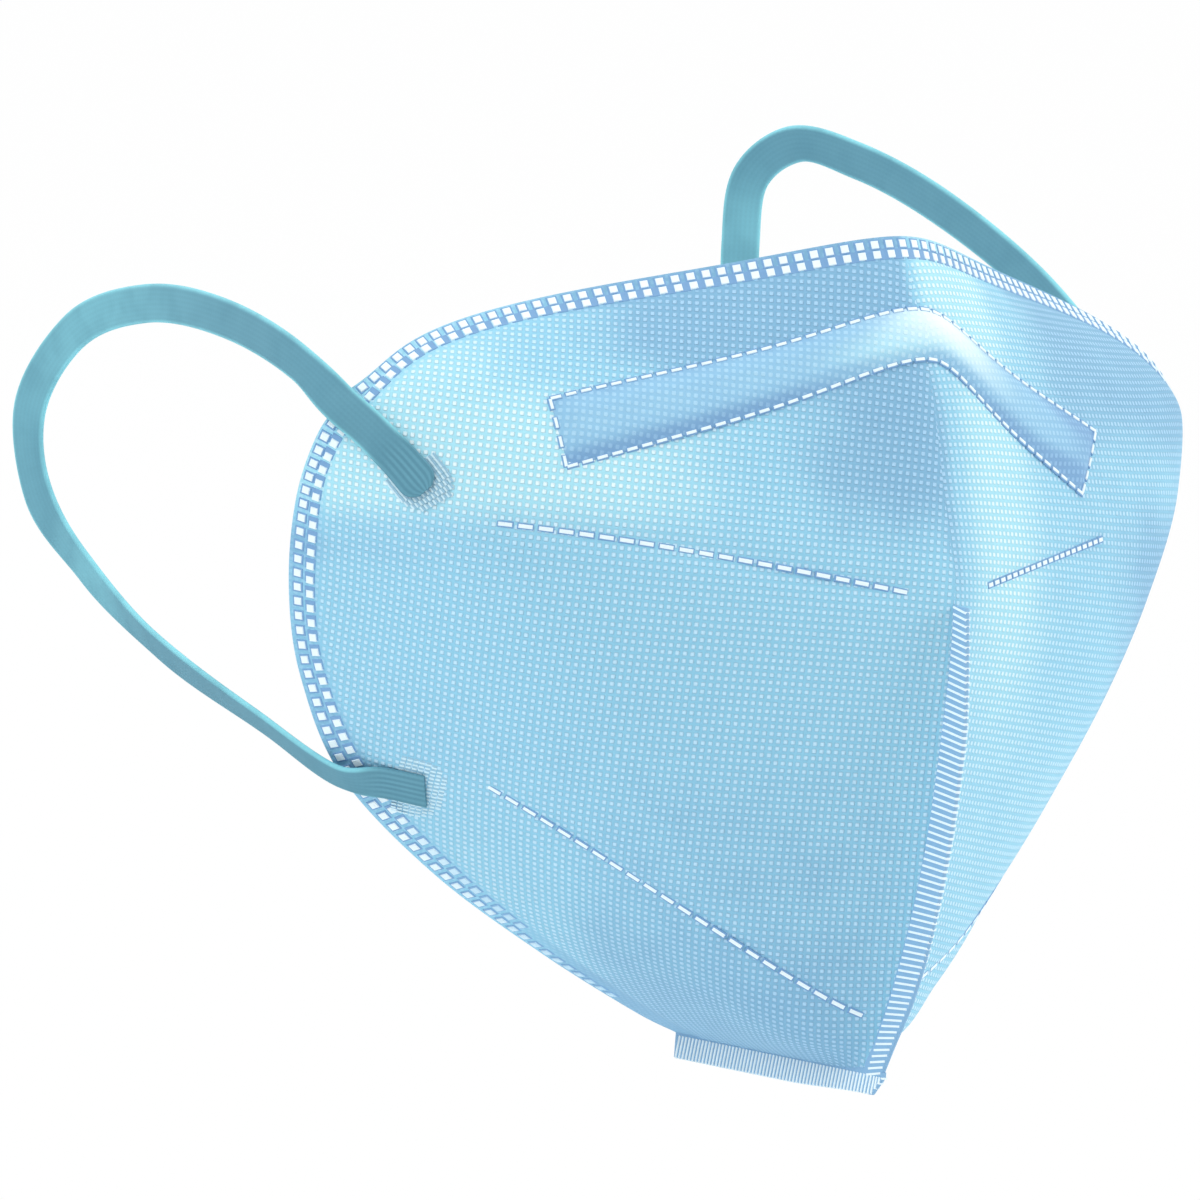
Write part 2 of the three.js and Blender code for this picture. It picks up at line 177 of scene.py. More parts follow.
class PanelSurface:
    """The outer face of the cloth, as a function of reach and level."""

    ROWS = 480
    COLUMNS = 360
    FINE = 400
    SLOPE = 0.8  # half the step that a normal is measured over
    BRIDGE = (2.0, 5.0)  # the radii between which a fold becomes part of the soft bridge
    CROWN_HEIGHT = 0.92
    CROWN_WIDTH = 2.2
    RIM_SIDE = 600
    RIM_TOP = 400
    RIM = 700
    WINDOW = 29  # the rim points that a smooth direction of the rim is taken over
    INNER = 4.0  # how far inside the rim the cloth's slope is measured
    PROBE = 0.5
    BATCH = 1000

    def __init__(self, sections: Sequence[Section]) -> None:
        """Lays the sections out on a fine grid of level and share of the reach.

        Args:
            sections: The sections of a panel, from the chin seam to the top edge.
        """
        self._table = np.array(sections, float)
        steps = np.hypot(np.diff(self._table[:, 0]), np.diff(self._table[:, 1]))
        self._knots = np.concatenate([[0.0], np.cumsum(steps)])
        self.top = float(self._knots[-1])
        self._levels = np.linspace(0.0, self.top, self.ROWS)
        self._grid, self._lengths = self._resampled(self._levels)
        self._flat = np.zeros((2, 2, 2))

    def _sections_at(self, levels: Array) -> Array:
        """Every column of the table on a smooth curve through its rows.

        Args:
            levels: The levels to read.

        Returns:
            One row of the table for each level.
        """
        table, knots = self._table, self._knots
        slopes = np.empty_like(table)
        slopes[1:-1] = (table[2:] - table[:-2]) / (knots[2:] - knots[:-2])[:, None]
        slopes[0] = (table[1] - table[0]) / (knots[1] - knots[0])
        slopes[-1] = (table[-1] - table[-2]) / (knots[-1] - knots[-2])
        low = np.clip(np.searchsorted(knots, levels, side="right") - 1, 0, len(knots) - 2)
        span = (knots[low + 1] - knots[low])[:, None]
        t = (levels - knots[low])[:, None] / span
        return (
            (2 * t**3 - 3 * t**2 + 1) * table[low]
            + (t**3 - 2 * t**2 + t) * span * slopes[low]
            + (3 * t**2 - 2 * t**3) * table[low + 1]
            + (t**3 - t**2) * span * slopes[low + 1]
        )

    def _resampled(self, levels: Array) -> tuple[Array, Array]:
        """The section curves at even steps of their length.

        Args:
            levels: The levels to draw a curve at.

        Returns:
            The points, by level and step, and the length of each curve.
        """
        cut = Section(*self._sections_at(levels).T)
        level = np.zeros_like(levels)
        front = np.stack([level, cut.front_y, cut.front_z], -1)
        back = np.stack([cut.back_x, cut.back_y, cut.back_z], -1)
        chord = np.linalg.norm(back - front, axis=1)
        rise = back[:, 2] - front[:, 2]
        leave, arrive = np.radians(cut.leave), np.radians(cut.arrive)
        handle = (cut.reach * chord)[:, None] * np.stack([np.sin(leave), np.cos(leave), level], -1)
        front_handle = front + handle
        front_handle[:, 2] += cut.reach * rise + cut.lift
        handle = (cut.pull * chord)[:, None] * np.stack([np.sin(arrive), np.cos(arrive), level], -1)
        back_handle = back - handle
        back_handle[:, 2] += cut.drop - cut.pull * rise
        t = np.linspace(0.0, 1.0, self.FINE)[None, :, None]
        curve = (
            (1 - t) ** 3 * front[:, None]
            + 3 * (1 - t) ** 2 * t * front_handle[:, None]
            + 3 * (1 - t) * t**2 * back_handle[:, None]
            + t**3 * back[:, None]
        )
        run = np.linalg.norm(np.diff(curve, axis=1), axis=2)
        along = np.concatenate([np.zeros((len(levels), 1)), np.cumsum(run, axis=1)], axis=1)
        lengths = along[:, -1]
        even = np.linspace(0.0, 1.0, self.COLUMNS)
        points = np.empty((len(levels), self.COLUMNS, 3))
        for row in range(len(levels)):
            for axis in range(3):
                points[row, :, axis] = np.interp(even * lengths[row], along[row], curve[row, :, axis])
        reach = even[None, :] * lengths[:, None]
        radius = cut.round[:, None]
        points[:, :, 1] += np.cos(leave)[:, None] * (np.hypot(reach, radius) - reach)
        handle = front_handle - front
        fall = handle[:, 2] / np.linalg.norm(handle, axis=1)
        wide = radius * smooth(*self.BRIDGE, radius) + 1e-3
        crown = self.CROWN_HEIGHT * wide * np.exp(-((reach / (self.CROWN_WIDTH * wide)) ** 2))
        points[:, :, 2] += fall[:, None] * (np.hypot(reach, wide) - reach - crown)
        return points, lengths

    def length(self, level: Array) -> Array:
        """The reach of the panel's edge at a level."""
        return np.interp(level, self._levels, self._lengths)

    def _read(self, grid: Array, reach: Array, level: Array) -> Array:
        """Reads a grid of level and share of the reach between its points.

        Args:
            grid: The vectors, by level and share.
            reach: The reaches, with the sign of their side.
            level: The levels.

        Returns:
            The vector at each place, mirrored for the wearer's right panel.
        """
        reach, level = np.broadcast_arrays(np.asarray(reach, float), np.asarray(level, float))
        rows, columns = grid.shape[:2]
        share = np.clip(np.abs(reach) / self.length(level), 0.0, 1.0) * (columns - 1)
        row = np.clip(level / self.top, 0.0, 1.0) * (rows - 1)
        i = np.minimum(share.astype(int), columns - 2)
        j = np.minimum(row.astype(int), rows - 2)
        u, v = (share - i)[..., None], (row - j)[..., None]
        low = grid[j, i] * (1 - u) + grid[j, i + 1] * u
        high = grid[j + 1, i] * (1 - u) + grid[j + 1, i + 1] * u
        found = low * (1 - v) + high * v
        found[..., 0] = np.where(reach < 0, -found[..., 0], found[..., 0])
        return found

    def point(self, reach: Array, level: Array) -> Array:
        """The points of the outer face at these places."""
        return self._read(self._grid, reach, level)

    def flat(self, reach: Array, level: Array) -> Array:
        """Where these places lie on the flat pattern."""
        return self._read(self._flat, reach, level)

    def normal(self, reach: Array, level: Array) -> Array:
        """The outward normals of the cloth.

        Args:
            reach: The reaches, with the sign of their side.
            level: The levels.

        Returns:
            A unit vector for each place.
        """
        span = self.length(level) - self.SLOPE
        x, y = np.clip(reach, -span, span), np.clip(level, self.SLOPE, self.top - self.SLOPE)
        along = self.point(x + self.SLOPE, y) - self.point(x - self.SLOPE, y)
        up = self.point(x, y + self.SLOPE) - self.point(x, y - self.SLOPE)
        return unit(np.cross(along, up))

    def over(self, reach: Array, level: Array, height: Array) -> Array:
        """The points at a height over the outer face."""
        return self.point(reach, level) + self.normal(reach, level) * np.asarray(height, float)[..., None]

    @staticmethod
    def edge_stretch(level: Array) -> Array:
        """How much wider the pressed edge is towards the jaw."""
        return 1.0 + 0.28 * (1.0 - smooth(95.0, 120.0, level)) + 0.25 * (1.0 - smooth(35.0, 75.0, level))

    def rim(self) -> tuple[Array, Array]:
        """The edge of a panel, from the chin seam round to the middle of the nose bridge.

        Returns:
            Its reaches and levels, evenly spaced along the edge.
        """
        level = np.linspace(0.0, self.top, self.RIM_SIDE)
        across = np.linspace(float(self.length(np.array(self.top))), 0.0, self.RIM_TOP)[1:]
        reach = np.concatenate([self.length(level), across])
        level = np.concatenate([level, np.full_like(across, self.top)])
        steps = np.linalg.norm(np.diff(self.point(reach, level), axis=0), axis=1)
        run = np.concatenate([[0.0], np.cumsum(steps)])
        even = np.linspace(0.0, run[-1], self.RIM)
        return np.interp(even, run, reach), np.interp(even, run, level)

    def inset(self, distance: float) -> tuple[Array, Array]:
        """A line that keeps its distance from the edge.

        Args:
            distance: How far it is from the edge where the pressed edge isn't widened.

        Returns:
            Its reaches and levels, from the jaw to the middle of the nose bridge.
        """
        reach, level = self.rim()
        points = self.point(reach, level)
        margin = self.WINDOW // 2
        padded = np.pad(np.gradient(points, axis=0), ((margin, margin), (0, 0)), mode="edge")
        window = np.hanning(self.WINDOW)
        along = unit(np.stack([np.convolve(part, window, mode="valid") for part in padded.T], -1))
        x = np.maximum(reach - self.INNER, 0.0)
        y = np.clip(level, self.INNER, self.top - self.INNER)
        a = self.point(x + self.PROBE, y) - self.point(x - self.PROBE, y)
        b = self.point(x, y + self.PROBE) - self.point(x, y - self.PROBE)
        inward = unit(np.cross(np.cross(a, b), along))
        facing = ((self.point(x, y) - points) * inward).sum(1)
        way = inward * (np.sign(facing) * distance * self.edge_stretch(level))[:, None]
        aa, ab, bb = (a * a).sum(1), (a * b).sum(1), (b * b).sum(1)
        aw, bw = (a * way).sum(1), (b * way).sum(1)
        spread = aa * bb - ab * ab
        reach = reach + (aw * bb - bw * ab) / spread
        level = level + (bw * aa - aw * ab) / spread
        reach[-1] = 0.0
        return reach, level

    def edge_distance(self, reach: Array, level: Array) -> Array:
        """How far places are from the edge, counted less where the pressed edge is wider.

        Args:
            reach: The reaches, with either sign.
            level: The levels.

        Returns:
            The distances.
        """
        places = self.point(np.abs(reach), level).reshape(-1, 3)
        rim = self.point(*self.rim())
        near = []
        for start in range(0, len(places), self.BATCH):
            apart = places[start : start + self.BATCH, None] - rim[None]
            near.append(np.sqrt((apart**2).sum(-1).min(1)))
        return np.concatenate(near).reshape(np.shape(reach)) / self.edge_stretch(level)

    def grid(self, rows: int, columns: int) -> tuple[Array, Array]:
        """The reach and level of an even grid on one panel.

        Args:
            rows: Grid rows from the chin seam to the top edge.
            columns: Grid columns from the fold to the ear edge.

        Returns:
            The reaches and the levels, by row and column.
        """
        level, share = np.meshgrid(
            np.linspace(0.0, self.top, rows), np.linspace(0.0, 1.0, columns), indexing="ij"
        )
        return share * self.length(level), level

    def flatten(self, rows: int, columns: int) -> float:
        """Lays the panel flat, so that patterns on the cloth keep their size.

        Args:
            rows: Grid rows of the flat pattern.
            columns: Grid columns of the flat pattern.

        Returns:
            The panel's area in square millimetres.
        """
        reach, level = self.grid(rows, columns)
        points = self.point(reach, level)
        index = np.arange(rows * columns).reshape(rows, columns)
        cells = np.stack([index[:-1, :-1], index[:-1, 1:], index[1:, 1:], index[1:, :-1]], -1)
        piece = mesh_object("flat_pattern", points.reshape(-1, 3), cells.reshape(-1, 4).tolist())
        piece.data.uv_layers.new(name="flat")
        bpy.context.view_layer.objects.active = piece
        piece.select_set(True)
        bpy.ops.object.mode_set(mode="EDIT")
        bpy.ops.mesh.select_all(action="SELECT")
        bpy.ops.uv.unwrap(method="MINIMUM_STRETCH", margin=0.0)
        bpy.ops.object.mode_set(mode="OBJECT")
        corners = np.empty(len(piece.data.loops) * 2, np.float32)
        piece.data.uv_layers["flat"].data.foreach_get("uv", corners)
        owner = np.empty(len(piece.data.loops), np.int32)
        piece.data.loops.foreach_get("vertex_index", owner)
        flat = np.zeros((rows * columns, 2))
        flat[owner] = corners.reshape(-1, 2)
        area = sum(face.area for face in piece.data.polygons) / MM**2
        bpy.data.objects.remove(piece)
        self._flat = self._aligned(flat, reach, level, area).reshape(rows, columns, 2)
        return area

    @staticmethod
    def _aligned(flat: Array, reach: Array, level: Array, area: float) -> Array:
        """Turns and scales a flat pattern to lie along reach and level at its true size.

        Args:
            flat: The pattern's points at any turn and scale.
            reach: The reach of each point, by row and column.
            level: The level of each point, by row and column.
            area: The panel's true area.

        Returns:
            The points in millimetres.
        """
        wanted = (reach + 1j * level).ravel()
        wanted = wanted - wanted.mean()
        best, error = wanted, np.inf
        for shape in (flat[:, 0] + 1j * flat[:, 1], flat[:, 0] - 1j * flat[:, 1]):
            centred = shape - shape.mean()
            turn = np.vdot(centred, wanted)
            turned = centred * turn / abs(turn)
            scale = abs(turn) / np.vdot(centred, centred).real
            miss = np.abs(turned * scale - wanted).sum()
            if miss < error:
                best, error = turned, miss
        z = best.reshape(reach.shape)
        across, up = z[1:, 1:] - z[:-1, :-1], z[1:, :-1] - z[:-1, 1:]
        drawn = np.abs((across.conj() * up).imag).sum() / 2
        z = z.ravel() * math.sqrt(area / drawn)
        return np.stack([z.real, z.imag], -1)


# ---------------------------------------------------------------- meshes
def mesh_object(name: str, points: Array, faces: Sequence[Sequence[int]]) -> Piece:
    """Makes a mesh object at the origin and links it to the scene.

    Args:
        name: The object's name.
        points: Its vertices, in millimetres.
        faces: Its faces, as vertex indices.

    Returns:
        The new object.
    """
    mesh = bpy.data.meshes.new(name)
    mesh.from_pydata((np.asarray(points) * MM).tolist(), [], faces)
    mesh.update()
    piece = bpy.data.objects.new(name, mesh)
    bpy.context.scene.collection.objects.link(piece)
    return piece


def smooth_shaded(piece: Piece, angle: float = 180.0) -> None:
    """Shades a piece smooth, with creases kept sharp.

    Args:
        piece: The mesh object.
        angle: Edges that turn by more than this many degrees stay sharp.
    """
    piece.data.shade_smooth()
    if angle < 180.0:
        piece.data.set_sharp_from_angle(angle=math.radians(angle))


def give(piece: Piece, name: str, values: Array) -> None:
    """Stores one value or vector on each vertex of a piece.

    Args:
        piece: The mesh object.
        name: The attribute's name.
        values: A number, or a vector, for each vertex.
    """
    if np.ndim(values) == 1:
        layer = piece.data.attributes.new(name, "FLOAT", "POINT")
        layer.data.foreach_set("value", np.asarray(values, np.float32))
    else:
        layer = piece.data.attributes.new(name, "FLOAT_VECTOR", "POINT")
        layer.data.foreach_set("vector", np.asarray(values, np.float32).ravel())


def map_corners(piece: Piece, places: Array) -> None:
    """Gives each corner of a piece its place on the flat cloth.

    Args:
        piece: The mesh object.
        places: The flat place of each corner, in millimetres, in the order of the mesh's loops.
    """
    layer = piece.data.uv_layers.new(name="cloth")
    layer.data.foreach_set("uv", np.asarray(places, np.float32).ravel())


def thickened(points: Array, cells: Array, walls: Array) -> tuple[Array, list]:
    """Thickens a surface of quads inwards to one closed solid, mitred where it folds.

    Args:
        points: The outer points.
        cells: The quads, as vertex indices, facing out.
        walls: The wall's thickness at each point.

    Returns:
        All points, and all faces: the outer ones, then the inner ones, then the rim.
    """
    a, b, c, d = (points[cells[:, k]] for k in range(4))
    facing = unit(np.cross(c - a, d - b))
    sums = np.zeros_like(points)
    for k in range(4):
        np.add.at(sums, cells[:, k], facing)
    sums = unit(sums)
    square = np.ones(len(points))
    for k in range(4):
        np.minimum.at(square, cells[:, k], (sums[cells[:, k]] * facing).sum(1))
    inner = points - sums * (walls / np.maximum(square, 0.6))[:, None]
    n = len(points)
    edges: dict[tuple[int, int], bool] = {}
    for k in range(4):
        for pair in zip(cells[:, k].tolist(), cells[:, (k + 1) % 4].tolist()):
            edges[pair] = True
    rim = [[q, p, n + p, n + q] for p, q in edges if (q, p) not in edges]
    faces = cells.tolist() + (n + cells[:, ::-1]).tolist() + rim
    return np.concatenate([points, inner]), faces


def ringed(rings: Array) -> list[list[int]]:
    """The faces of a solid swept through closed rings, with both ends closed.

    Args:
        rings: The points, by ring and place on the ring.

    Returns:
        The faces, as indices into the flattened rings.
    """
    count, around = rings.shape[:2]
    faces = []
    for r in range(count - 1):
        for k in range(around):
            p, q = r * around + k, r * around + (k + 1) % around
            faces.append([p, q, q + around, p + around])
    last = (count - 1) * around
    faces.append(list(range(around))[::-1])
    faces.append([last + k for k in range(around)])
    return faces


# ---------------------------------------------------------------- node trees
class Tree:
    """A node tree with short calls for adding and joining nodes."""

    def __init__(self, tree: bpy.types.NodeTree) -> None:
        """Wraps a tree."""
        self.tree = tree

    def add(self, kind: str, **settings: object) -> bpy.types.Node:
        """Adds a node.

        Args:
            kind: The node's type.
            **settings: The properties to set.

        Returns:
            The node.
        """
        node = self.tree.nodes.new(kind)
        for name, value in settings.items():
            setattr(node, name, value)
        return node

    def put(self, value: object, socket: Socket) -> None:
        """Joins an output to a socket, or sets the socket to a plain value.

        Args:
            value: The output or the value.
            socket: The input socket.
        """
        if isinstance(value, Socket):
            self.tree.links.new(value, socket)
        else:
            socket.default_value = value

    def join(self, node: bpy.types.Node, *values: object) -> Socket:
        """Feeds a node's first inputs.

        Args:
            node: The node.
            *values: What its inputs take, in order.

        Returns:
            Its first output.
        """
        for value, socket in zip(values, node.inputs):
            self.put(value, socket)
        return node.outputs[0]

    def math(self, operation: str, *values: object) -> Socket:
        """The result of a Math node."""
        return self.join(self.add("ShaderNodeMath", operation=operation), *values)

    def times(self, a: object, b: object) -> Socket:
        """The product of two numbers."""
        return self.math("MULTIPLY", a, b)

    def plus(self, a: object, b: object) -> Socket:
        """The sum of two numbers."""
        return self.math("ADD", a, b)

    def rest(self, share: object) -> Socket:
        """What a share leaves of 1."""
        return self.math("SUBTRACT", 1.0, share)

    def scaled(self, value: object, factor: float, start: object) -> Socket:
        """A number times a factor, counted from a start."""
        return self.math("MULTIPLY_ADD", value, factor, start)

    def vector(self, operation: str, *values: object) -> Socket:
        """The result of a Vector Math node.

        Args:
            operation: What it does.
            *values: The vectors that it takes.

        Returns:
            The vector, or the number of a dot product.
        """
        node = self.add("ShaderNodeVectorMath", operation=operation)
        self.join(node, *values)
        return node.outputs["Value" if operation == "DOT_PRODUCT" else "Vector"]

    def resized(self, value: object, factor: object) -> Socket:
        """A vector times a number.

        Args:
            value: The vector.
            factor: The number.

        Returns:
            The longer or shorter vector.
        """
        node = self.add("ShaderNodeVectorMath", operation="SCALE")
        self.put(factor, node.inputs["Scale"])
        return self.join(node, value)

    def combine(self, x: object, y: object, z: object) -> Socket:
        """A vector from three numbers."""
        return self.join(self.add("ShaderNodeCombineXYZ"), x, y, z)

    def split(self, value: object) -> bpy.types.NodeOutputs:
        """The three numbers of a vector.

        Args:
            value: The vector.

        Returns:
            The sockets for x, y and z.
        """
        node = self.add("ShaderNodeSeparateXYZ")
        self.put(value, node.inputs[0])
        return node.outputs

    def turned(self, value: object, angle: float) -> Socket:
        """A vector turned about the Z axis.

        Args:
            value: The vector.
            angle: The turn in radians.

        Returns:
            The turned vector.
        """
        node = self.add("ShaderNodeVectorRotate", rotation_type="Z_AXIS")
        self.put(value, node.inputs["Vector"])
        self.put(angle, node.inputs["Angle"])
        return node.outputs[0]

    def noise(self, place: object, size: object, detail: float) -> Socket:
        """Smooth noise.

        Args:
            place: Where it is read.
            size: The size of its grains, in the unit of the place.
            detail: How many finer layers it has.

        Returns:
            The noise, from 0 to 1.
        """
        node = self.add("ShaderNodeTexNoise")
        self.put(self.resized(place, self.math("DIVIDE", 1.0, size)), node.inputs["Vector"])
        self.put(1.0, node.inputs["Scale"])
        self.put(detail, node.inputs["Detail"])
        return node.outputs["Fac"]

    def step(self, value: object, low: object, high: object) -> Socket:
        """A soft step from 0 at low to 1 at high."""
        node = self.add("ShaderNodeMapRange", interpolation_type="SMOOTHSTEP")
        return self.join(node, value, low, high)

    def blend(self, share: object, a: object, b: object, how: str = "MIX") -> Socket:
        """A colour between two colours.

        Args:
            share: How much of the second colour is taken.
            a: The first colour.
            b: The second colour.
            how: The way of blending.

        Returns:
            The colour.
        """
        node = self.add("ShaderNodeMix", data_type="RGBA", blend_type=how)
        for value, socket in zip((share, a, b), (0, 6, 7)):
            self.put(value, node.inputs[socket])
        return node.outputs[2]


def shader_group(name: str, inputs: Sequence[str], outputs: Sequence[str]) -> tuple[Tree, dict, dict]:
    """Starts a shader node group that takes a vector and numbers, and puts out numbers.

    Args:
        name: The group's name.
        inputs: The names of its number inputs.
        outputs: The names of its outputs.

    Returns:
        The tree, the outputs of its Group Input and the inputs of its Group Output, by name.
    """
    tree = bpy.data.node_groups.new(name, "ShaderNodeTree")
    tree.interface.new_socket(name="Vector", in_out="INPUT", socket_type="NodeSocketVector")
    for way, sockets in (("INPUT", inputs), ("OUTPUT", outputs)):
        for socket in sockets:
            tree.interface.new_socket(name=socket, in_out=way, socket_type="NodeSocketFloat")
    wrapped = Tree(tree)
    start, end = wrapped.add("NodeGroupInput"), wrapped.add("NodeGroupOutput")
    return wrapped, {s.name: s for s in start.outputs if s.name}, {s.name: s for s in end.inputs if s.name}


def emboss_group() -> bpy.types.NodeTree:
    """Builds the group for a lattice of small embossed squares with round corners.

    Returns:
        The group, which puts out 1 in a square and 0 between.
    """
    tree, given, made = shader_group("emboss_lattice", ("Pitch", "Dot", "Softness"), ("Mask",))
    cell = tree.vector("FRACTION", tree.resized(given["Vector"], tree.math("DIVIDE", 1.0, given["Pitch"])))
    offset = tree.split(tree.vector("ABSOLUTE", tree.vector("SUBTRACT", cell, (0.5, 0.5, 0.0))))
    power = 4.0
    x, y = (tree.math("POWER", offset[k], power) for k in range(2))
    distance = tree.times(tree.math("POWER", tree.plus(x, y), 1 / power), given["Pitch"])
    half = tree.times(given["Dot"], 0.5)
    inner, outer = tree.math("SUBTRACT", half, given["Softness"]), tree.plus(half, given["Softness"])
    tree.put(tree.rest(tree.step(distance, inner, outer)), made["Mask"])
    return tree.tree


def fibre_group() -> bpy.types.NodeTree:
    """Builds the group for the fine tangle of fibres and the soft unevenness of bonded cloth.

    Returns:
        The group, which puts out both from 0 to 1.
    """
    tree, given, made = shader_group("fibre_tangle", ("Fibre", "Cloud"), ("Fibres", "Clouds"))
    strands = []
    for turn in (0.5, 2.1):
        drawn = tree.vector("MULTIPLY", tree.turned(given["Vector"], turn), (0.25, 2.0, 1.0))
        strands.append(tree.noise(drawn, given["Fibre"], 3.0))
    tree.put(tree.math("MAXIMUM", *strands), made["Fibres"])
    tree.put(tree.noise(given["Vector"], given["Cloud"], 2.0), made["Clouds"])
    return tree.tree


EMBOSS = emboss_group()
FIBRES = fibre_group()


class Shader(Tree):
    """A material's tree, with its Principled shader."""

    def __init__(self, name: str) -> None:
        """Makes an empty material with one Principled shader.

        Args:
            name: The material's name.
        """
        self.material = bpy.data.materials.new(name)
        self.material.use_nodes = True
        super().__init__(self.material.node_tree)
        self.shader = self.tree.nodes["Principled BSDF"]

    def set(self, **values: object) -> None:
        """Sets or joins the shader's sockets, named with _ for each space."""
        for name, value in values.items():
            self.put(value, self.shader.inputs[name.replace("_", " ")])

    def group(self, tree: bpy.types.NodeTree, **values: object) -> dict[str, Socket]:
        """Places a node group.

        Args:
            tree: The group.
            **values: What its inputs take.

        Returns:
            Its outputs, by name.
        """
        node = self.add("ShaderNodeGroup", node_tree=tree)
        for name, value in values.items():
            self.put(value, node.inputs[name])
        return {s.name: s for s in node.outputs}

    def attribute(self, name: str) -> Socket:
        """The number that the mesh carries under a name."""
        return self.add("ShaderNodeAttribute", attribute_name=name).outputs["Fac"]

    def cloth_place(self) -> Socket:
        """The place on the flat cloth, in millimetres."""
        return self.add("ShaderNodeUVMap", uv_map="cloth").outputs[0]

    def object_place(self) -> Socket:
        """The place on the object, in millimetres."""
        return self.resized(self.add("ShaderNodeTexCoord").outputs["Object"], 1 / MM)

    def dimmed(self, colour: object, shade: object) -> Socket:
        """A colour times a number."""
        return self.blend(1.0, colour, self.combine(shade, shade, shade), "MULTIPLY")

    def bump(self, height: object, depth: float) -> None:
        """Raises the surface.

        Args:
            height: The height, from 0 to 1.
            depth: How much a height of 1 is, in millimetres.
        """
        node = self.add("ShaderNodeBump")
        self.put(depth * MM, node.inputs["Distance"])
        self.put(height, node.inputs["Height"])
        self.set(Normal=node.outputs[0])


# ---------------------------------------------------------------- finishes
@dataclass(frozen=True)
class NonwovenFinish:
    """Embossed bonded cloth, painted lighter where light would catch it, with painted shade bluer in its
    hollows and a painted highlight.
    """

    name: str = "nonwoven_cloth"
    # lit, middle and shaded copies of the cloth's colour and of its dots, for painted light and shade
    light: Colour = srgb(175, 229, 242)
    middle: Colour = srgb(150, 207, 231)
    shade: Colour = srgb(132, 180, 211)
    light_dot: Colour = srgb(236, 252, 255)
    middle_dot: Colour = srgb(199, 233, 251)
    shade_dot: Colour = srgb(170, 210, 238)
    # the colour of a painted highlight
    glow: Colour = srgb(240, 250, 252)
    pitch: float = 1.3
    dot: float = 0.74
    softness: float = 0.11
    turn: float = 4.0
    depth: float = 0.22
    roughness: float = 0.86
    half_way: float = 0.58

    def build(self) -> Material:
        """Makes the material.

        Returns:
            The material, which reads the cloth map and the attributes tint, for painted light and shade,
            glow, for a painted highlight, and plain.
        """
        s = Shader(self.name)
        place = s.turned(s.cloth_place(), math.radians(self.turn))
        dots = s.group(EMBOSS, Vector=place, Pitch=self.pitch, Dot=self.dot, Softness=self.softness)["Mask"]
        fibres = s.group(FIBRES, Vector=place, Fibre=0.35, Cloud=9.0)
        # painted shade from the mesh, with a random cloud of tone
        painted_shade_tint = s.plus(s.attribute("painted_shade_tint"), s.scaled(fibres["Clouds"], 0.2, -0.1))
        painted_shade_tint = s.math("MINIMUM", s.math("MAXIMUM", painted_shade_tint, 0.0), 1.0)
        # painted light and shade: the ground and the dots go from their lit colours to their shaded ones
        first, last = s.step(painted_shade_tint, 0.0, self.half_way), s.step(painted_shade_tint, self.half_way, 1.0)
        ground = s.blend(last, s.blend(first, self.light, self.middle), self.shade)
        spots = s.blend(last, s.blend(first, self.light_dot, self.middle_dot), self.shade_dot)
        shown = s.times(dots, s.rest(s.attribute("plain")))
        # a painted highlight where the mesh asks for one
        colour = s.blend(s.attribute("glow"), s.blend(shown, ground, spots), self.glow)
        s.set(
            Base_Color=s.dimmed(colour, s.scaled(fibres["Fibres"], 0.16, 0.915)),
            Roughness=self.roughness,
            Sheen_Weight=0.08,
            Sheen_Roughness=0.5,
        )
        s.bump(s.plus(s.times(shown, 0.7), s.times(fibres["Fibres"], 0.35)), self.depth)
        return s.material


STRIP_CLOTH = NonwovenFinish(
    name="strip_cloth", light=srgb(178, 226, 242), middle=srgb(148, 195, 225), shade=srgb(126, 168, 208)
)


@dataclass(frozen=True)
class LiningFinish:
    """The plain soft lining towards the face."""

    name: str = "inner_lining"
    colour: Colour = srgb(226, 240, 247)
    dot_colour: Colour = srgb(243, 250, 253)
    pitch: float = 1.42
    dot: float = 0.62
    softness: float = 0.18
    depth: float = 0.2
    roughness: float = 0.92

    def build(self) -> Material:
        """Makes the material.

        Returns:
            The material, which reads the cloth map.
        """
        s = Shader(self.name)
        place = s.cloth_place()
        dots = s.group(EMBOSS, Vector=place, Pitch=self.pitch, Dot=self.dot, Softness=self.softness)["Mask"]
        fibres = s.group(FIBRES, Vector=place, Fibre=0.45, Cloud=12.0)
        colour = s.blend(s.times(dots, 0.7), self.colour, self.dot_colour)
        s.set(
            Base_Color=s.dimmed(colour, s.scaled(fibres["Fibres"], 0.14, 0.92)),
            Roughness=self.roughness,
            Sheen_Weight=0.1,
        )
        s.bump(s.plus(s.times(dots, -0.4), s.times(fibres["Fibres"], 0.6)), self.depth)
        return s.material


@dataclass(frozen=True)
class PressedFinish:
    """Cloth melted together under a weld tool: glassy where it is pale, deeper blue where it is squeezed
    and painted with shade.
    """

    name: str
    colour: Colour
    faded: Colour
    roughness: float
    grain: float = 0.12
    depth: float = 0.08

    def build(self) -> Material:
        """Makes the material.

        Returns:
            The material, which reads Object coordinates and the attribute fade.
        """
        s = Shader(self.name)
        fibres = s.group(FIBRES, Vector=s.object_place(), Fibre=0.5, Cloud=6.0)
        colour = s.blend(s.attribute("fade"), self.colour, self.faded)
        s.set(
            Base_Color=s.dimmed(colour, s.scaled(fibres["Fibres"], self.grain, 1.0 - self.grain * 0.55)),
            Roughness=s.scaled(fibres["Clouds"], 0.2, self.roughness - 0.1),
        )
        s.bump(fibres["Fibres"], self.depth)
        return s.material


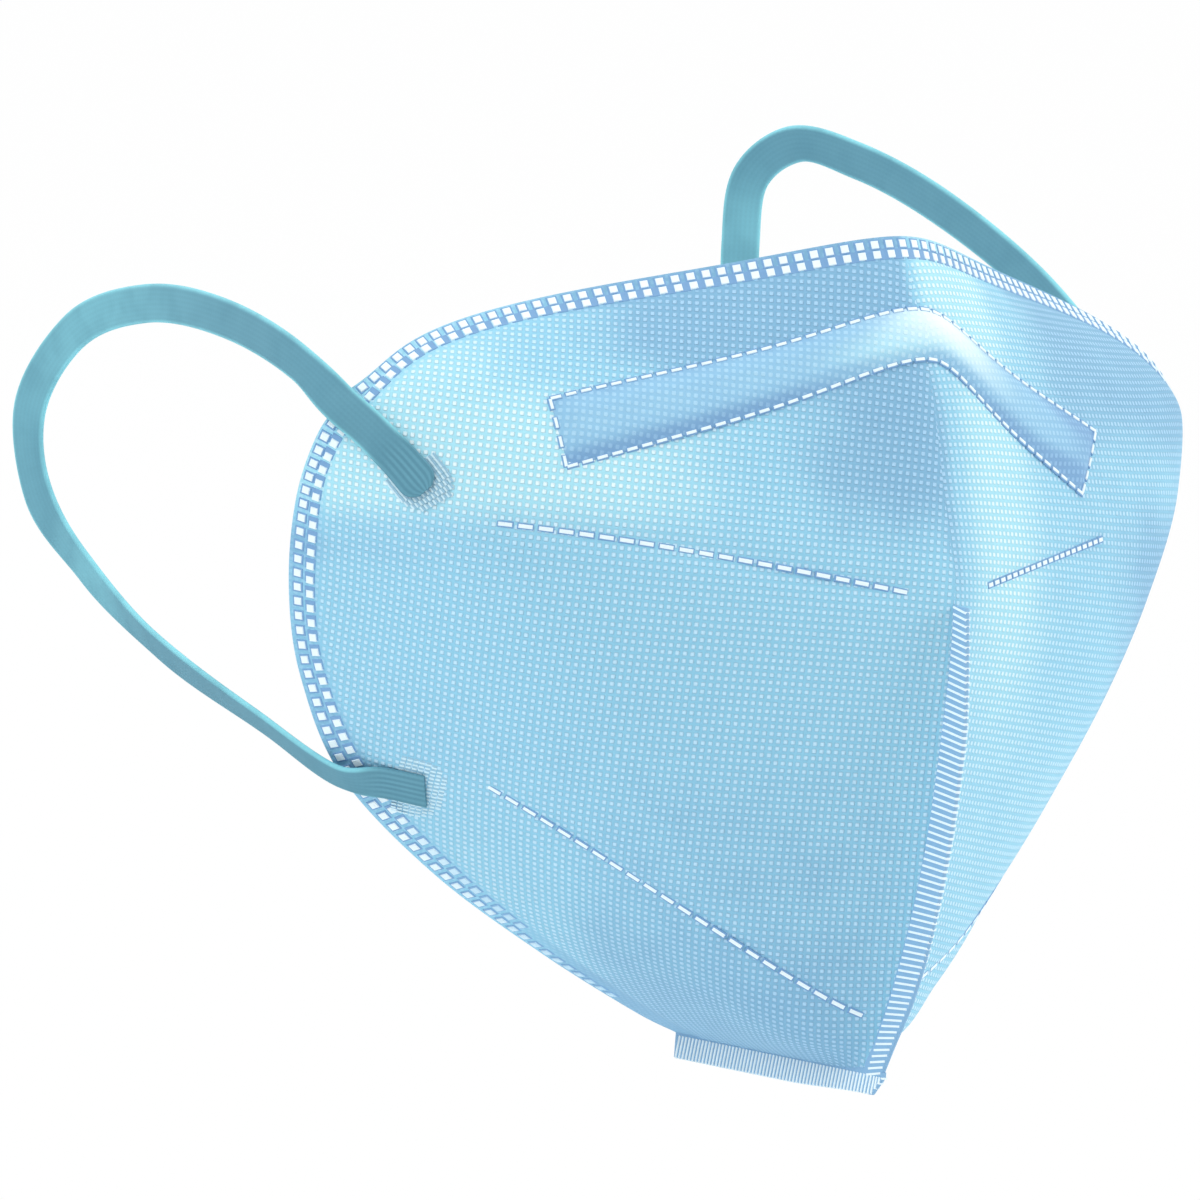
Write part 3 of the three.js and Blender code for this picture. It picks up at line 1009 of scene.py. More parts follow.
@dataclass(frozen=True)
class ElasticFinish:
    """Knitted elastic: fine wales along the band, a painted rim highlight at its edges, ribbed where its
    ends are welded.
    """

    name: str = "knitted_elastic"
    middle: Colour = srgb(105, 157, 174)
    # the colour of the painted rim highlight and of painted highlights along the band
    edge: Colour = srgb(146, 218, 228)
    # darker clouds of tone, and painted shade in the furrows of the welded ribs
    deep: Colour = srgb(90, 142, 160)
    wale: float = 0.85
    course: float = 0.9
    rib: float = 1.05
    # where the painted rim highlight starts, as a share of half the width
    rim: float = 0.76
    depth: float = 0.01
    roughness: float = 0.78

    def build(self, half_width: float) -> Material:
        """Makes the material.

        Args:
            half_width: Half the band's width.

        Returns:
            The material, which reads the attributes across, run, weld and glow, the last for painted
            highlights.
        """
        s = Shader(self.name)
        across, run, weld, glow = (s.attribute(name) for name in ("across", "run", "weld", "glow"))
        from_middle = s.math("ABSOLUTE", across)
        # a painted rim highlight, left off where the ends are welded
        rim = s.times(s.step(from_middle, half_width * self.rim, half_width), s.rest(weld))
        noise = s.group(FIBRES, Vector=s.combine(run, across, 0.0), Fibre=0.6, Cloud=7.0)
        wales = s.math("SINE", s.times(across, 2 * math.pi / self.wale))
        courses = s.math("SINE", s.scaled(run, 2 * math.pi / self.course, s.times(wales, 1.2)))
        ribs = s.math("SINE", s.times(across, 2 * math.pi / self.rib))
        knit = s.plus(s.times(wales, 0.16), s.times(courses, 0.1))
        knit = s.plus(s.scaled(s.times(ribs, weld), 0.5, knit), 0.5)
        # painted shade in the furrows between the weld's ribs
        furrow = s.times(s.rest(s.step(ribs, -0.6, 0.5)), weld)
        colour = s.blend(rim, self.middle, self.edge)
        # painted highlights along the band
        colour = s.blend(s.times(glow, 0.5), colour, self.edge)
        colour = s.blend(s.times(s.step(noise["Clouds"], 0.35, 0.75), 0.35), colour, self.deep)
        colour = s.blend(s.times(furrow, 0.55), colour, self.deep)
        s.set(
            Base_Color=s.dimmed(colour, s.scaled(knit, 0.12, 0.93)),
            Roughness=self.roughness,
            Specular_IOR_Level=0.25,
            Sheen_Weight=0.05,
            Sheen_Roughness=0.4,
        )
        s.bump(s.scaled(noise["Fibres"], 0.1, knit), self.depth)
        return s.material


# ---------------------------------------------------------------- geometry node trees
class Recipe(Tree):
    """A geometry node tree with named inputs, run on a path to make a plain mesh."""

    def __init__(self, name: str, sizes: Sequence[str]) -> None:
        """Starts the tree.

        Args:
            name: The tree's name.
            sizes: The names of its number inputs.
        """
        group = bpy.data.node_groups.new(name, "GeometryNodeTree")
        group.is_modifier = True
        face = group.interface
        face.new_socket(name="Path", in_out="INPUT", socket_type="NodeSocketGeometry")
        for size in sizes:
            face.new_socket(name=size, in_out="INPUT", socket_type="NodeSocketFloat")
        face.new_socket(name="Material", in_out="INPUT", socket_type="NodeSocketMaterial")
        face.new_socket(name="Piece", in_out="OUTPUT", socket_type="NodeSocketGeometry")
        super().__init__(group)
        self.given = {s.name: s for s in self.add("NodeGroupInput").outputs if s.name}
        self._end = self.add("NodeGroupOutput")

    def named(self, name: str, kind: str = "FLOAT_VECTOR") -> Socket:
        """The value of a stored attribute.

        Args:
            name: The attribute's name.
            kind: Its data type.

        Returns:
            Its value at each point.
        """
        node = self.add("GeometryNodeInputNamedAttribute", data_type=kind)
        node.inputs["Name"].default_value = name
        return node.outputs["Attribute"]

    def position(self) -> Socket:
        """Where each point is."""
        return self.add("GeometryNodeInputPosition").outputs[0]

    def feed(self, kind: str, settings: dict[str, str] | None = None, **values: object) -> Socket:
        """Adds one step of the recipe.

        Args:
            kind: The node's type.
            settings: The node's properties.
            **values: What its inputs take, named with _ for each space.

        Returns:
            The node's first output.
        """
        node = self.add(kind, **(settings or {}))
        for name, value in values.items():
            self.put(value, node.inputs[name.replace("_", " ")])
        return node.outputs[0]

    def store(self, geometry: object, name: str, value: object, kind: str) -> Socket:
        """Stores an attribute on the points of a geometry.

        Args:
            geometry: The geometry.
            name: The attribute's name.
            value: Its value at each point.
            kind: Its data type.

        Returns:
            The geometry with the attribute.
        """
        settings = {"data_type": kind, "domain": "POINT"}
        values = {"Geometry": geometry, "Name": name, "Value": value}
        return self.feed("GeometryNodeStoreNamedAttribute", settings, **values)

    def finish(self, geometry: Socket) -> None:
        """Ends the tree in Realize Instances and Set Material.

        Args:
            geometry: What the recipe makes.
        """
        real = self.feed("GeometryNodeRealizeInstances", Geometry=geometry)
        dressed = self.feed("GeometryNodeSetMaterial", Geometry=real, Material=self.given["Material"])
        self.put(dressed, self._end.inputs["Piece"])

    def run(self, name: str, path: "Path", material: Material, **sizes: float) -> Piece:
        """Runs the tree on a path.

        Args:
            name: The new piece's name.
            path: What the tree follows.
            material: The finish it sets.
            **sizes: The tree's number inputs, in millimetres, named with _ for each space.

        Returns:
            A plain mesh object.
        """
        guide = path.build(name + "_path")
        modifier = guide.modifiers.new("recipe", "NODES")
        modifier.node_group = self.tree
        keys = {s.name: s.identifier for s in self.tree.interface.items_tree if s.in_out == "INPUT"}
        for size, value in sizes.items():
            modifier[keys[size.replace("_", " ")]] = float(value) * MM
        modifier[keys["Material"]] = material
        graph = bpy.context.evaluated_depsgraph_get()
        mesh = bpy.data.meshes.new_from_object(
            guide.evaluated_get(graph), preserve_all_data_layers=True, depsgraph=graph
        )
        mesh.name = name
        bpy.data.objects.remove(guide)
        piece = bpy.data.objects.new(name, mesh)
        bpy.context.scene.collection.objects.link(piece)
        return piece


@dataclass
class Path:
    """Open lines for a recipe to follow, with vectors and numbers carried at their points.

    The attribute along is the direction of a pad's length, and face is the direction of its height.
    """

    lines: list[Array] = field(default_factory=list)
    carried: dict[str, list[Array]] = field(default_factory=dict)

    def line(self, points: Array, **carried: Array) -> "Path":
        """Adds a line. Pads keep their size where no scale is given.

        Args:
            points: The line's points.
            **carried: A number or a vector for each point, by attribute.

        Returns:
            The path itself.
        """
        self.lines.append(np.asarray(points, float))
        carried.setdefault("scale", np.ones((len(points), 3)))
        for name, values in carried.items():
            self.carried.setdefault(name, []).append(np.asarray(values, float))
        return self

    def on(
        self, surface: PanelSurface, reach: Array, level: Array, height: float, **carried: Array
    ) -> "Path":
        """Adds a line on the cloth, with its pads set along it.

        Args:
            surface: The panel surface.
            reach: The line's reaches.
            level: The line's levels.
            height: How far it is over the cloth.
            **carried: What else its points carry.

        Returns:
            The path itself.
        """
        points = surface.over(reach, level, np.full(len(reach), height))
        carried.setdefault("along", unit(np.gradient(points, axis=0)))
        return self.line(points, face=surface.normal(reach, level), **carried)

    def build(self, name: str) -> Piece:
        """Makes the mesh of edges that a recipe turns into curves.

        Args:
            name: The mesh object's name.

        Returns:
            The mesh object.
        """
        mesh = bpy.data.meshes.new(name)
        edges, start = [], 0
        for line in self.lines:
            edges += [(start + k, start + k + 1) for k in range(len(line) - 1)]
            start += len(line)
        mesh.from_pydata((np.concatenate(self.lines) * MM).tolist(), edges, [])
        guide = bpy.data.objects.new(name, mesh)
        bpy.context.scene.collection.objects.link(guide)
        for key, parts in self.carried.items():
            give(guide, key, np.concatenate(parts))
        return guide


def pad_recipe() -> Recipe:
    """Builds the tree that sets small chamfered pads at even steps along a path.

    Returns:
        The recipe. Its path carries along and face, the pads' length and height directions, and scale.
    """
    tree = Recipe("pads_along_path", ("Pitch", "Length", "Width", "Height", "Chamfer"))
    given = tree.given
    curve = tree.feed("GeometryNodeMeshToCurve", Mesh=given["Path"])
    spaced = tree.feed("GeometryNodeResampleCurve", {"mode": "LENGTH"}, Curve=curve, Length=given["Pitch"])
    size = tree.combine(given["Length"], given["Width"], given["Height"])
    pad = tree.feed("GeometryNodeMeshCube", Size=size, Vertices_X=2, Vertices_Y=2, Vertices_Z=4)
    place = tree.position()
    height = tree.math("ABSOLUTE", tree.split(place)[2])
    at_end = tree.math("GREATER_THAN", height, tree.times(given["Height"], 0.4))
    chamfer = tree.combine(given["Chamfer"], given["Chamfer"], 0.0)
    inward = tree.vector("MULTIPLY", tree.vector("SIGN", place), chamfer)
    drawn_in = tree.vector("SUBTRACT", place, inward)
    chamfered = tree.feed("GeometryNodeSetPosition", Geometry=pad, Selection=at_end, Position=drawn_in)
    turn = tree.add("FunctionNodeAxesToRotation", primary_axis="Z", secondary_axis="X")
    placed = tree.feed(
        "GeometryNodeInstanceOnPoints", Points=spaced, Instance=chamfered,
        Rotation=tree.join(turn, tree.named("face"), tree.named("along")), Scale=tree.named("scale"),
    )
    tree.finish(placed)
    return tree


def band_recipe() -> Recipe:
    """Builds the tree that sweeps a flat band with round edges along a path.

    Returns:
        The recipe. Its path carries face, the direction of the band's flat side, run, the length from its
        start, press, how flat it is pressed, and narrow, how far its width is drawn in.
    """
    tree = Recipe("band_along_path", ("Width", "Thickness", "Corner"))
    given = tree.given
    centred = tree.store(given["Path"], "centre", tree.position(), "FLOAT_VECTOR")
    spine = tree.feed("GeometryNodeMeshToCurve", Mesh=centred)
    face, centre = tree.named("face"), tree.named("centre")
    facing = tree.feed("GeometryNodeSetCurveNormal", {"mode": "FREE"}, Curve=spine, Normal=face)
    outline = tree.feed(
        "GeometryNodeCurvePrimitiveQuadrilateral", Width=given["Thickness"], Height=given["Width"]
    )
    rounded = tree.feed(
        "GeometryNodeFilletCurve", {"mode": "POLY"}, Curve=outline, Count=3, Radius=given["Corner"]
    )
    fine = tree.feed("GeometryNodeResampleCurve", {"mode": "LENGTH"}, Curve=rounded, Length=0.5 * MM)
    across = tree.math("DIVIDE", tree.split(tree.position())[1], MM)
    profile = tree.store(fine, "across", across, "FLOAT")
    swept = tree.feed("GeometryNodeCurveToMesh", Curve=facing, Profile_Curve=profile, Fill_Caps=True)
    offset = tree.vector("SUBTRACT", tree.position(), centre)
    up = tree.resized(face, tree.vector("DOT_PRODUCT", offset, face))
    aside = tree.vector("SUBTRACT", offset, up)
    thin = tree.resized(up, tree.rest(tree.named("press", "FLOAT")))
    close = tree.resized(aside, tree.rest(tree.named("narrow", "FLOAT")))
    shaped = tree.vector("ADD", centre, tree.vector("ADD", thin, close))
    tree.finish(tree.feed("GeometryNodeSetPosition", Geometry=swept, Position=shaped))
    return tree


# ---------------------------------------------------------------- the pieces
def settle(piece: Piece, slot: str, *nodes: str) -> Piece:
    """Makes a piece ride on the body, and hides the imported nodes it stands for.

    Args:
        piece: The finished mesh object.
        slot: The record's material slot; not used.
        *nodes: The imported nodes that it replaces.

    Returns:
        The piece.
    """
    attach(piece, BODY)
    if nodes:
        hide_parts(*nodes)
    log.info("%s: %d faces", piece.name, len(piece.data.polygons))
    return piece


class Pad(NamedTuple):
    """The size of one pad: along its row, across it and over the cloth, and its chamfer."""

    length: float
    width: float
    height: float
    chamfer: float = 0.1


@dataclass(frozen=True)
class Welder:
    """The weld tool: it sets rows of pads, pale where they stand up, in darker frames of squeezed cloth and
    painted shade.
    """

    pads: Recipe
    pale: Material
    pinched_shade: Material

    def press(self, name: str, path: Path, slot: str, pitch: float, pad: Pad, pale: bool) -> Piece:
        """Sets pads along a path.

        Args:
            name: The piece's name.
            path: The rows.
            slot: The record's material slot.
            pitch: The step from pad to pad.
            pad: The size of a pad.
            pale: Whether the pads are pale, and not the darker frames of squeezed cloth and painted shade.

        Returns:
            The piece.
        """
        sizes = {"Pitch": pitch, "Length": pad.length, "Width": pad.width}
        finish = self.pale if pale else self.pinched_shade
        made = self.pads.run(name, path, finish, Height=pad.height, Chamfer=pad.chamfer, **sizes)
        return settle(made, slot)


@dataclass(frozen=True)
class WeldLine:
    """A straight dashed weld on a panel, from a reach and level to another."""

    start: tuple[float, float]
    end: tuple[float, float]
    pitch: float = 3.45
    dash: float = 2.55
    samples: int = 60

    def places(self) -> tuple[Array, Array]:
        """The line's reaches and levels.

        Returns:
            Both at even steps along the line.
        """
        share = np.linspace(0.0, 1.0, self.samples)
        reach, level = (a + (b - a) * share for a, b in zip(self.start, self.end))
        return reach, level

    def distance(self, reach: Array, level: Array) -> Array:
        """How far each place is from the line, along the cloth.

        Args:
            reach: The reaches, with the sign of their side.
            level: The levels.

        Returns:
            The distances.
        """
        start, run = np.array(self.start), np.array(self.end) - np.array(self.start)
        x, y = reach - start[0], level - start[1]
        share = np.clip((x * run[0] + y * run[1]) / (run @ run), 0.0, 1.0)
        return np.hypot(x - share * run[0], y - share * run[1])


WELD_LINES = (
    WeldLine((-79.4, 99.0), (-10.1, 87.1)),
    WeldLine((11.6, 88.2), (50.4, 95.6), pitch=2.05, dash=1.5),
    WeldLine((-76.9, 46.3), (-5.7, 12.7)),
    WeldLine((12.0, 19.5), (72.0, 43.0)),
)


@dataclass
class MaskShell:
    """Both panels of cloth with the fold between them, open towards the face."""

    surface: PanelSurface
    columns: int = 97
    rows: int = 125
    wall: float = 1.2
    edge_wall: float = 0.75
    edge_width: float = 4.6
    edge_step: float = 0.8
    foot: tuple[float, float] = (0.5, 9.0)
    foot_share: float = 0.35
    weld_depth: float = 0.35
    weld_reach: float = 1.9
    ripple: float = 0.16

    def pressed(self, inside: Array) -> Array:
        """How far the cloth is pressed flat, from its distance to the edge."""
        return 1.0 - smooth(self.edge_width - self.edge_step, self.edge_width + self.edge_step, inside)

    def relief(self, reach: Array, level: Array) -> Array:
        """How far the outer face stands over the plain panel surface.

        Args:
            reach: The reaches, with the sign of their side.
            level: The levels.

        Returns:
            Heights, below zero where the cloth is pressed down.
        """
        height = self.ripple * (
            np.sin(reach / 11.0 + 0.6) * np.sin(level / 13.0) + 0.6 * np.sin(reach / 6.3 - level / 8.9)
        )
        inside = self.surface.edge_distance(reach, level)
        height *= smooth(0.0, 14.0, np.abs(reach)) * smooth(0.0, 12.0, level) * smooth(5.0, 16.0, inside)
        for line in WELD_LINES:
            height -= self.weld_depth * np.exp(-((line.distance(reach, level) / self.weld_reach) ** 2))
        return height - self.pressed(inside) * (self.wall - self.edge_wall) / 2

    def painted_shade_tint(self, reach: Array, level: Array) -> Array:
        """How far the cloth's colour has gone from painted light to painted shade.

        The cheek of the right panel has a painted highlight above the upper weld line, and painted shade
        makes its fold, crown and foot bluer. The left panel is painted lightest beside the fold.

        Args:
            reach: The reaches, with the sign of their side.
            level: The levels.

        Returns:
            The amount of painted shade, from 0 to 1.
        """
        out = np.abs(reach)
        inner, outer = smooth(4.0, 72.0, out), smooth(40.0, 98.0, out)
        crown = smooth(116.0, 134.0, level)
        line = level - 0.08 * np.maximum(out - 45.0, 0.0)
        # a painted highlight on the cheek, reaching further from the fold under the crown
        cheek = smooth(88.0, 106.0, line) * (inner + (outer - inner) * crown) * (1.0 - 0.14 * crown)
        # painted shade, bluer towards the foot
        low = 0.19 * (1 - smooth(30.0, 80.0, level)) + 0.20 * (1 - smooth(0.0, 36.0, level))
        # painted light towards the jaw
        jaw = 0.40 * smooth(48.0, 82.0, out) * (1 - smooth(20.0, 60.0, level))
        # painted light along the fold, against the shadow of the front fin
        painted_fold_light = 0.16 * np.exp(-((out / 6.0) ** 2)) * (1 - smooth(84.0, 96.0, level))
        # the right panel: painted shade over its upper part and lower down, less where light is painted
        right = 0.57 + 0.40 * smooth(86.0, 108.0, level) + low - jaw - 0.98 * cheek - painted_fold_light
        # the left panel: a painted highlight beside the fold
        ridge = 0.58 * np.exp(-(((out - 17.0) / 15.0) ** 2)) * smooth(48.0, 92.0, level)
        # painted shade in the fold
        painted_fold_shade = np.exp(-((out / 5.0) ** 2)) * smooth(78.0, 90.0, level) * (1 - smooth(118.0, 132.0, level))
        # a painted highlight at the top beside the fold
        lit = 0.3 * smooth(128.0, 142.0, level) * (1 - smooth(4.0, 30.0, out))
        # painted shade high up, away from the fold
        brow = 0.26 * smooth(106.0, 126.0, level) * smooth(18.0, 55.0, out)
        # painted shade towards the outer edge
        side = 0.34 * smooth(48.0, 82.0, out) * (1 - smooth(88.0, 110.0, level))
        # the left panel: painted shade higher up, less where highlights are painted
        left = 0.42 + 0.26 * smooth(50.0, 95.0, level) - ridge + 0.36 * painted_fold_shade - lit + brow + side
        share = smooth(-3.0, 3.0, reach)
        return np.clip(right + (left - right) * share, 0.0, 1.0)

    def _mesh(self) -> tuple[Array, Array, Array, Array]:
        """The outer face of both panels, joined along the fold and the chin seam.

        Returns:
            Its points, their reaches and levels, its quads, and the flat place of each quad's corners.
        """
        reach, level = self.surface.grid(self.rows, self.columns)
        flat = self.surface.flat(reach, level)
        index: dict[tuple[int, int, int], int] = {}
        points, places, cells, corners = [], [], [], []
        near, far = slice(None, -1), slice(1, None)
        quad = [(near, near), (near, far), (far, far), (far, near)]
        for side in Side:
            signed = reach * side.value
            outer = self.surface.over(signed, level, self.relief(signed, level))
            numbers = np.zeros((self.rows, self.columns), int)
            for j in range(self.rows):
                for i in range(self.columns):
                    key = (0, i, j) if i == 0 or j == 0 else (side.value, i, j)
                    if key not in index:
                        index[key] = len(points)
                        points.append(outer[j, i] * ((0.0, 1.0, 1.0) if key[0] == 0 else 1.0))
                        places.append((signed[j, i], level[j, i]))
                    numbers[j, i] = index[key]
            order = quad[::-1] if side is Side.RIGHT else quad
            cells.append(np.stack([numbers[part] for part in order], -1).reshape(-1, 4))
            mirrored = flat * (side.value, 1.0)
            corners.append(np.stack([mirrored[part] for part in order], -2).reshape(-1, 4, 2))
        return np.array(points), np.array(places), np.concatenate(cells), np.concatenate(corners)

    def build(self, cloth: Material, lining: Material) -> Piece:
        """Makes the shell.

        Args:
            cloth: The outer finish.
            lining: The inner finish.

        Returns:
            The shell.
        """
        outer, places, cells, corners = self._mesh()
        reach, level = places.T
        pressed = self.pressed(self.surface.edge_distance(reach, level))
        walls = self.wall - pressed * (self.wall - self.edge_wall)
        walls *= self.foot_share + (1 - self.foot_share) * smooth(*self.foot, np.hypot(reach, level))
        points, faces = thickened(outer, cells, walls)
        piece = mesh_object("mask_shell", points, faces)
        rim = len(faces) - 2 * len(cells)
        by_vertex = np.zeros((len(outer), 2))
        by_vertex[cells.ravel()] = corners.reshape(-1, 2)
        rim_corners = by_vertex[np.array(faces[-rim:]) % len(outer)]
        mapped = (corners, corners[:, ::-1], rim_corners)
        map_corners(piece, np.concatenate([part.reshape(-1, 2) for part in mapped]))
        # painted light and shade, with the pressed edge's own bluer colour added
        give(piece, "painted_shade_tint", np.tile(np.clip(self.painted_shade_tint(reach, level) + 0.16 * pressed, 0.0, 1.0), 2))
        give(piece, "plain", np.tile(pressed * 0.75, 2))
        piece.data.materials.append(cloth)
        piece.data.materials.append(lining)
        slots = np.zeros(len(faces), np.int32)
        slots[len(cells) : 2 * len(cells)] = 1
        piece.data.polygons.foreach_set("material_index", slots)
        smooth_shaded(piece, 40.0)
        return settle(piece, "nonwoven", "mask_body")


@dataclass
class EdgeWeld:
    """Two rows of square weld pads round the mask's edge, each pad in a darker frame of squeezed cloth and
    painted shade.
    """

    surface: PanelSurface
    rows: tuple[float, ...] = (1.35, 3.2)
    ends: tuple[float, ...] = (11.0, 22.0)
    fade: float = 26.0
    faded: float = 0.8
    pitch: float = 2.72
    pad: float = 1.45
    frame: float = 1.98

    def path(self, height: float) -> Path:
        """The rows as lines, from the jaw of one panel over the bridge to the jaw of the other.

        Args:
            height: How far they are over the cloth.

        Returns:
            The path.
        """
        made = Path()
        for inset, end in zip(self.rows, self.ends):
            reach, level = self.surface.inset(inset)
            start = int(np.argmax(level > end))
            reach, level = reach[start:], level[start:]
            reach = np.concatenate([-reach, reach[-2::-1]])
            level = np.concatenate([level, level[-2::-1]])
            fade = 1.0 - smooth(end, end + self.fade, level)
            wide = 1.0 + 0.25 * (1.0 - smooth(35.0, 75.0, level))
            scale = np.stack([0 * wide + 1, wide, 0 * wide + 1], -1)
            made.on(self.surface, reach, level, height, scale=scale, fade=fade * self.faded)
        return made

    def build(self, welder: Welder) -> list[Piece]:
        """Makes the frames and the pads.

        Args:
            welder: The weld tool.

        Returns:
            The pieces.
        """
        frame, pad = Pad(self.frame, self.frame, 0.36), Pad(self.pad, self.pad, 0.56, 0.12)
        return [
            # the frames are squeezed cloth and painted shade round each pad
            welder.press("edge_weld_frames", self.path(-0.28), "nonwoven", self.pitch, frame, False),
            welder.press("edge_weld_pads", self.path(-0.24), "nonwoven", self.pitch, pad, True),
        ]


@dataclass
class PanelWelds:
    """The dashed weld lines across the panels."""

    surface: PanelSurface
    width: float = 0.8
    height: float = 0.42
    frame: float = 0.42
    short_pitch: float = 3.0

    def build(self, welder: Welder) -> list[Piece]:
        """Makes the dashes and the darker frames round them, of squeezed cloth and painted shade.

        Args:
            welder: The weld tool.

        Returns:
            The pieces.
        """
        made = []
        for name, height, grow, pale in (
            # the frames are squeezed cloth and painted shade round each dash
            ("panel_weld_frames", -0.36, self.frame, False),
            ("panel_weld_dashes", -0.30, 0.0, True),
        ):
            for pitch in sorted({line.pitch for line in WELD_LINES}):
                path = Path()
                lines = [line for line in WELD_LINES if line.pitch == pitch]
                for line in lines:
                    path.on(self.surface, *line.places(), height)
                pad = Pad(lines[0].dash + grow, self.width + grow, self.height)
                label = name if pitch > self.short_pitch else name + "_short"
                made.append(welder.press(label, path, "nonwoven", pitch, pad, pale))
        return made


class StripEnd(NamedTuple):
    """One end of the nose strip: how far each border reaches, and the level it has come down to there."""

    side: Side
    upper_reach: float
    lower_reach: float
    upper_end: float
    lower_end: float


@dataclass
class NoseStrip:
    """The raised cover over the hidden nose clip, with its dashed outline."""

    surface: PanelSurface
    ends: tuple[StripEnd, ...] = (
        StripEnd(Side.RIGHT, 69.5, 68.0, 124.0, 109.5),
        StripEnd(Side.LEFT, 53.0, 44.0, 116.5, 104.0),
    )
    upper_level: float = 136.0
    lower_level: float = 127.0
    bend: float = 0.16
    bend_height: float = 0.96
    bend_width: float = 2.2
    rise: float = 1.25
    edge_rise: float = 0.12
    shoulder: float = 0.34
    slope: float = 3.6
    half_length: float = 60.0
    bed: float = 0.35
    columns: int = 161
    rows: int = 22
    dash: float = 1.95
    pitch: float = 2.72
    dash_width: float = 0.6
    frame: float = 0.3

    def place(self, share: Array, across: Array) -> tuple[Array, Array]:
        """The reach and level of a place on the strip.

        Args:
            share: From -1 at the right end to 1 at the left end.
            across: From 0 at the lower border to 1 at the upper one.

        Returns:
            The reaches and levels.
        """
        reach, level = np.zeros_like(share), np.zeros_like(share)
        for end in self.ends:
            here = share < 0 if end.side is Side.RIGHT else share >= 0
            t = np.abs(share)
            crown = self.bend * np.exp(-((t / (self.bend_width * self.bend)) ** 2))
            fall = np.hypot(t, self.bend) - self.bend_height * crown
            low = self.lower_level + (end.lower_end - self.lower_level) * fall
            high = self.upper_level + (end.upper_end - self.upper_level) * fall
            run = t * (end.lower_reach + (end.upper_reach - end.lower_reach) * across)
            reach = np.where(here, end.side.value * run, reach)
            level = np.where(here, low + (high - low) * across, level)
        return reach, level

    def build_cover(self, cloth: Material) -> Piece:
        """Makes the crowned cover.

        Args:
            cloth: The strip's finish.

        Returns:
            The cover.
        """
        shares, borders = np.linspace(-1, 1, self.columns), np.linspace(0, 1, self.rows)
        share, across = np.meshgrid(shares, borders, indexing="ij")
        reach, level = self.place(share, across)
        to_end = np.where(share < 0, 1 + share, 1 - share) * self.half_length
        to_border = np.minimum(across, 1 - across) / self.shoulder
        crown = smooth(0.0, 1.0, to_border) ** 0.7 * smooth(0.0, self.slope, to_end) ** 0.7
        height = self.edge_rise + (self.rise - self.edge_rise) * crown
        index = np.arange(self.columns * self.rows).reshape(self.columns, self.rows)
        cells = np.stack([index[:-1, :-1], index[1:, :-1], index[1:, 1:], index[:-1, 1:]], -1)
        points = self.surface.over(reach, level, height).reshape(-1, 3)
        points, faces = thickened(points, cells.reshape(-1, 4), (height + self.bed).ravel())
        piece = mesh_object("nose_strip_cover", points, faces)
        flat = self.surface.flat(np.abs(reach), level).reshape(-1, 2)
        corners = []
        for face in faces:
            owner = np.asarray(face) % len(flat)
            side = -1.0 if (owner // self.rows).mean() < (self.columns - 1) / 2 else 1.0
            corners.append(flat[owner] * (side, 1.0))
        map_corners(piece, np.concatenate(corners))
        # painted shade along the borders, the lower edge and the left end, and a painted highlight over the
        # bridge
        hollow = 1.0 - smooth(0.0, 1.0, to_border * 0.8)
        lower = 1.0 - smooth(0.0, 0.45, across)
        left_end = smooth(28.0, 50.0, reach)
        bridge = np.exp(-(((reach - 8.0 + 14.0 * (1 - across)) / 15.0) ** 2))
        painted_shade_tint = 0.48 + 0.28 * hollow + 0.27 * lower + 0.38 * left_end - 0.6 * bridge
        give(piece, "painted_shade_tint", np.tile(np.clip(painted_shade_tint, 0.0, 1.0).ravel(), 2))
        # a painted highlight over the bridge
        glow = np.exp(-(((reach - 6.0) / 10.5) ** 2)) * smooth(0.12, 0.7, across)
        give(piece, "glow", np.tile(glow.ravel(), 2))
        give(piece, "plain", np.full(2 * len(flat), 0.6))
        piece.data.materials.append(cloth)
        smooth_shaded(piece, 60.0)
        return settle(piece, "strip_cover", "nose_strip")

    def outline(self, height: float) -> Path:
        """The strip's four borders as lines for its dashes.

        Args:
            height: How far they are over the cloth.

        Returns:
            The path.
        """
        long = np.linspace(-0.984, 0.984, 220)
        short = np.linspace(0.1, 0.9, 30)
        path = Path()
        borders = [(long, np.full_like(long, border)) for border in (0.02, 0.98)]
        borders += [(np.full_like(short, end), short) for end in (-1.0, 1.0)]
        for share, across in borders:
            path.on(self.surface, *self.place(share, across), height)
        return path

    def build_outline(self, welder: Welder) -> list[Piece]:
        """Makes the dashed outline.

        Args:
            welder: The weld tool.

        Returns:
            The pieces.
        """
        frame = Pad(self.dash + self.frame, self.dash_width + 1.5 * self.frame, 0.4)
        dash = Pad(self.dash, self.dash_width, 0.56)
        made = []
        # the frames are squeezed cloth and painted shade round each dash of the outline
        for name, height, pad, pale in (("frames", 0.1, frame, False), ("dashes", 0.16, dash, True)):
            path = self.outline(height)
            made.append(welder.press("strip_outline_" + name, path, "strip_cover", self.pitch, pad, pale))
        return made


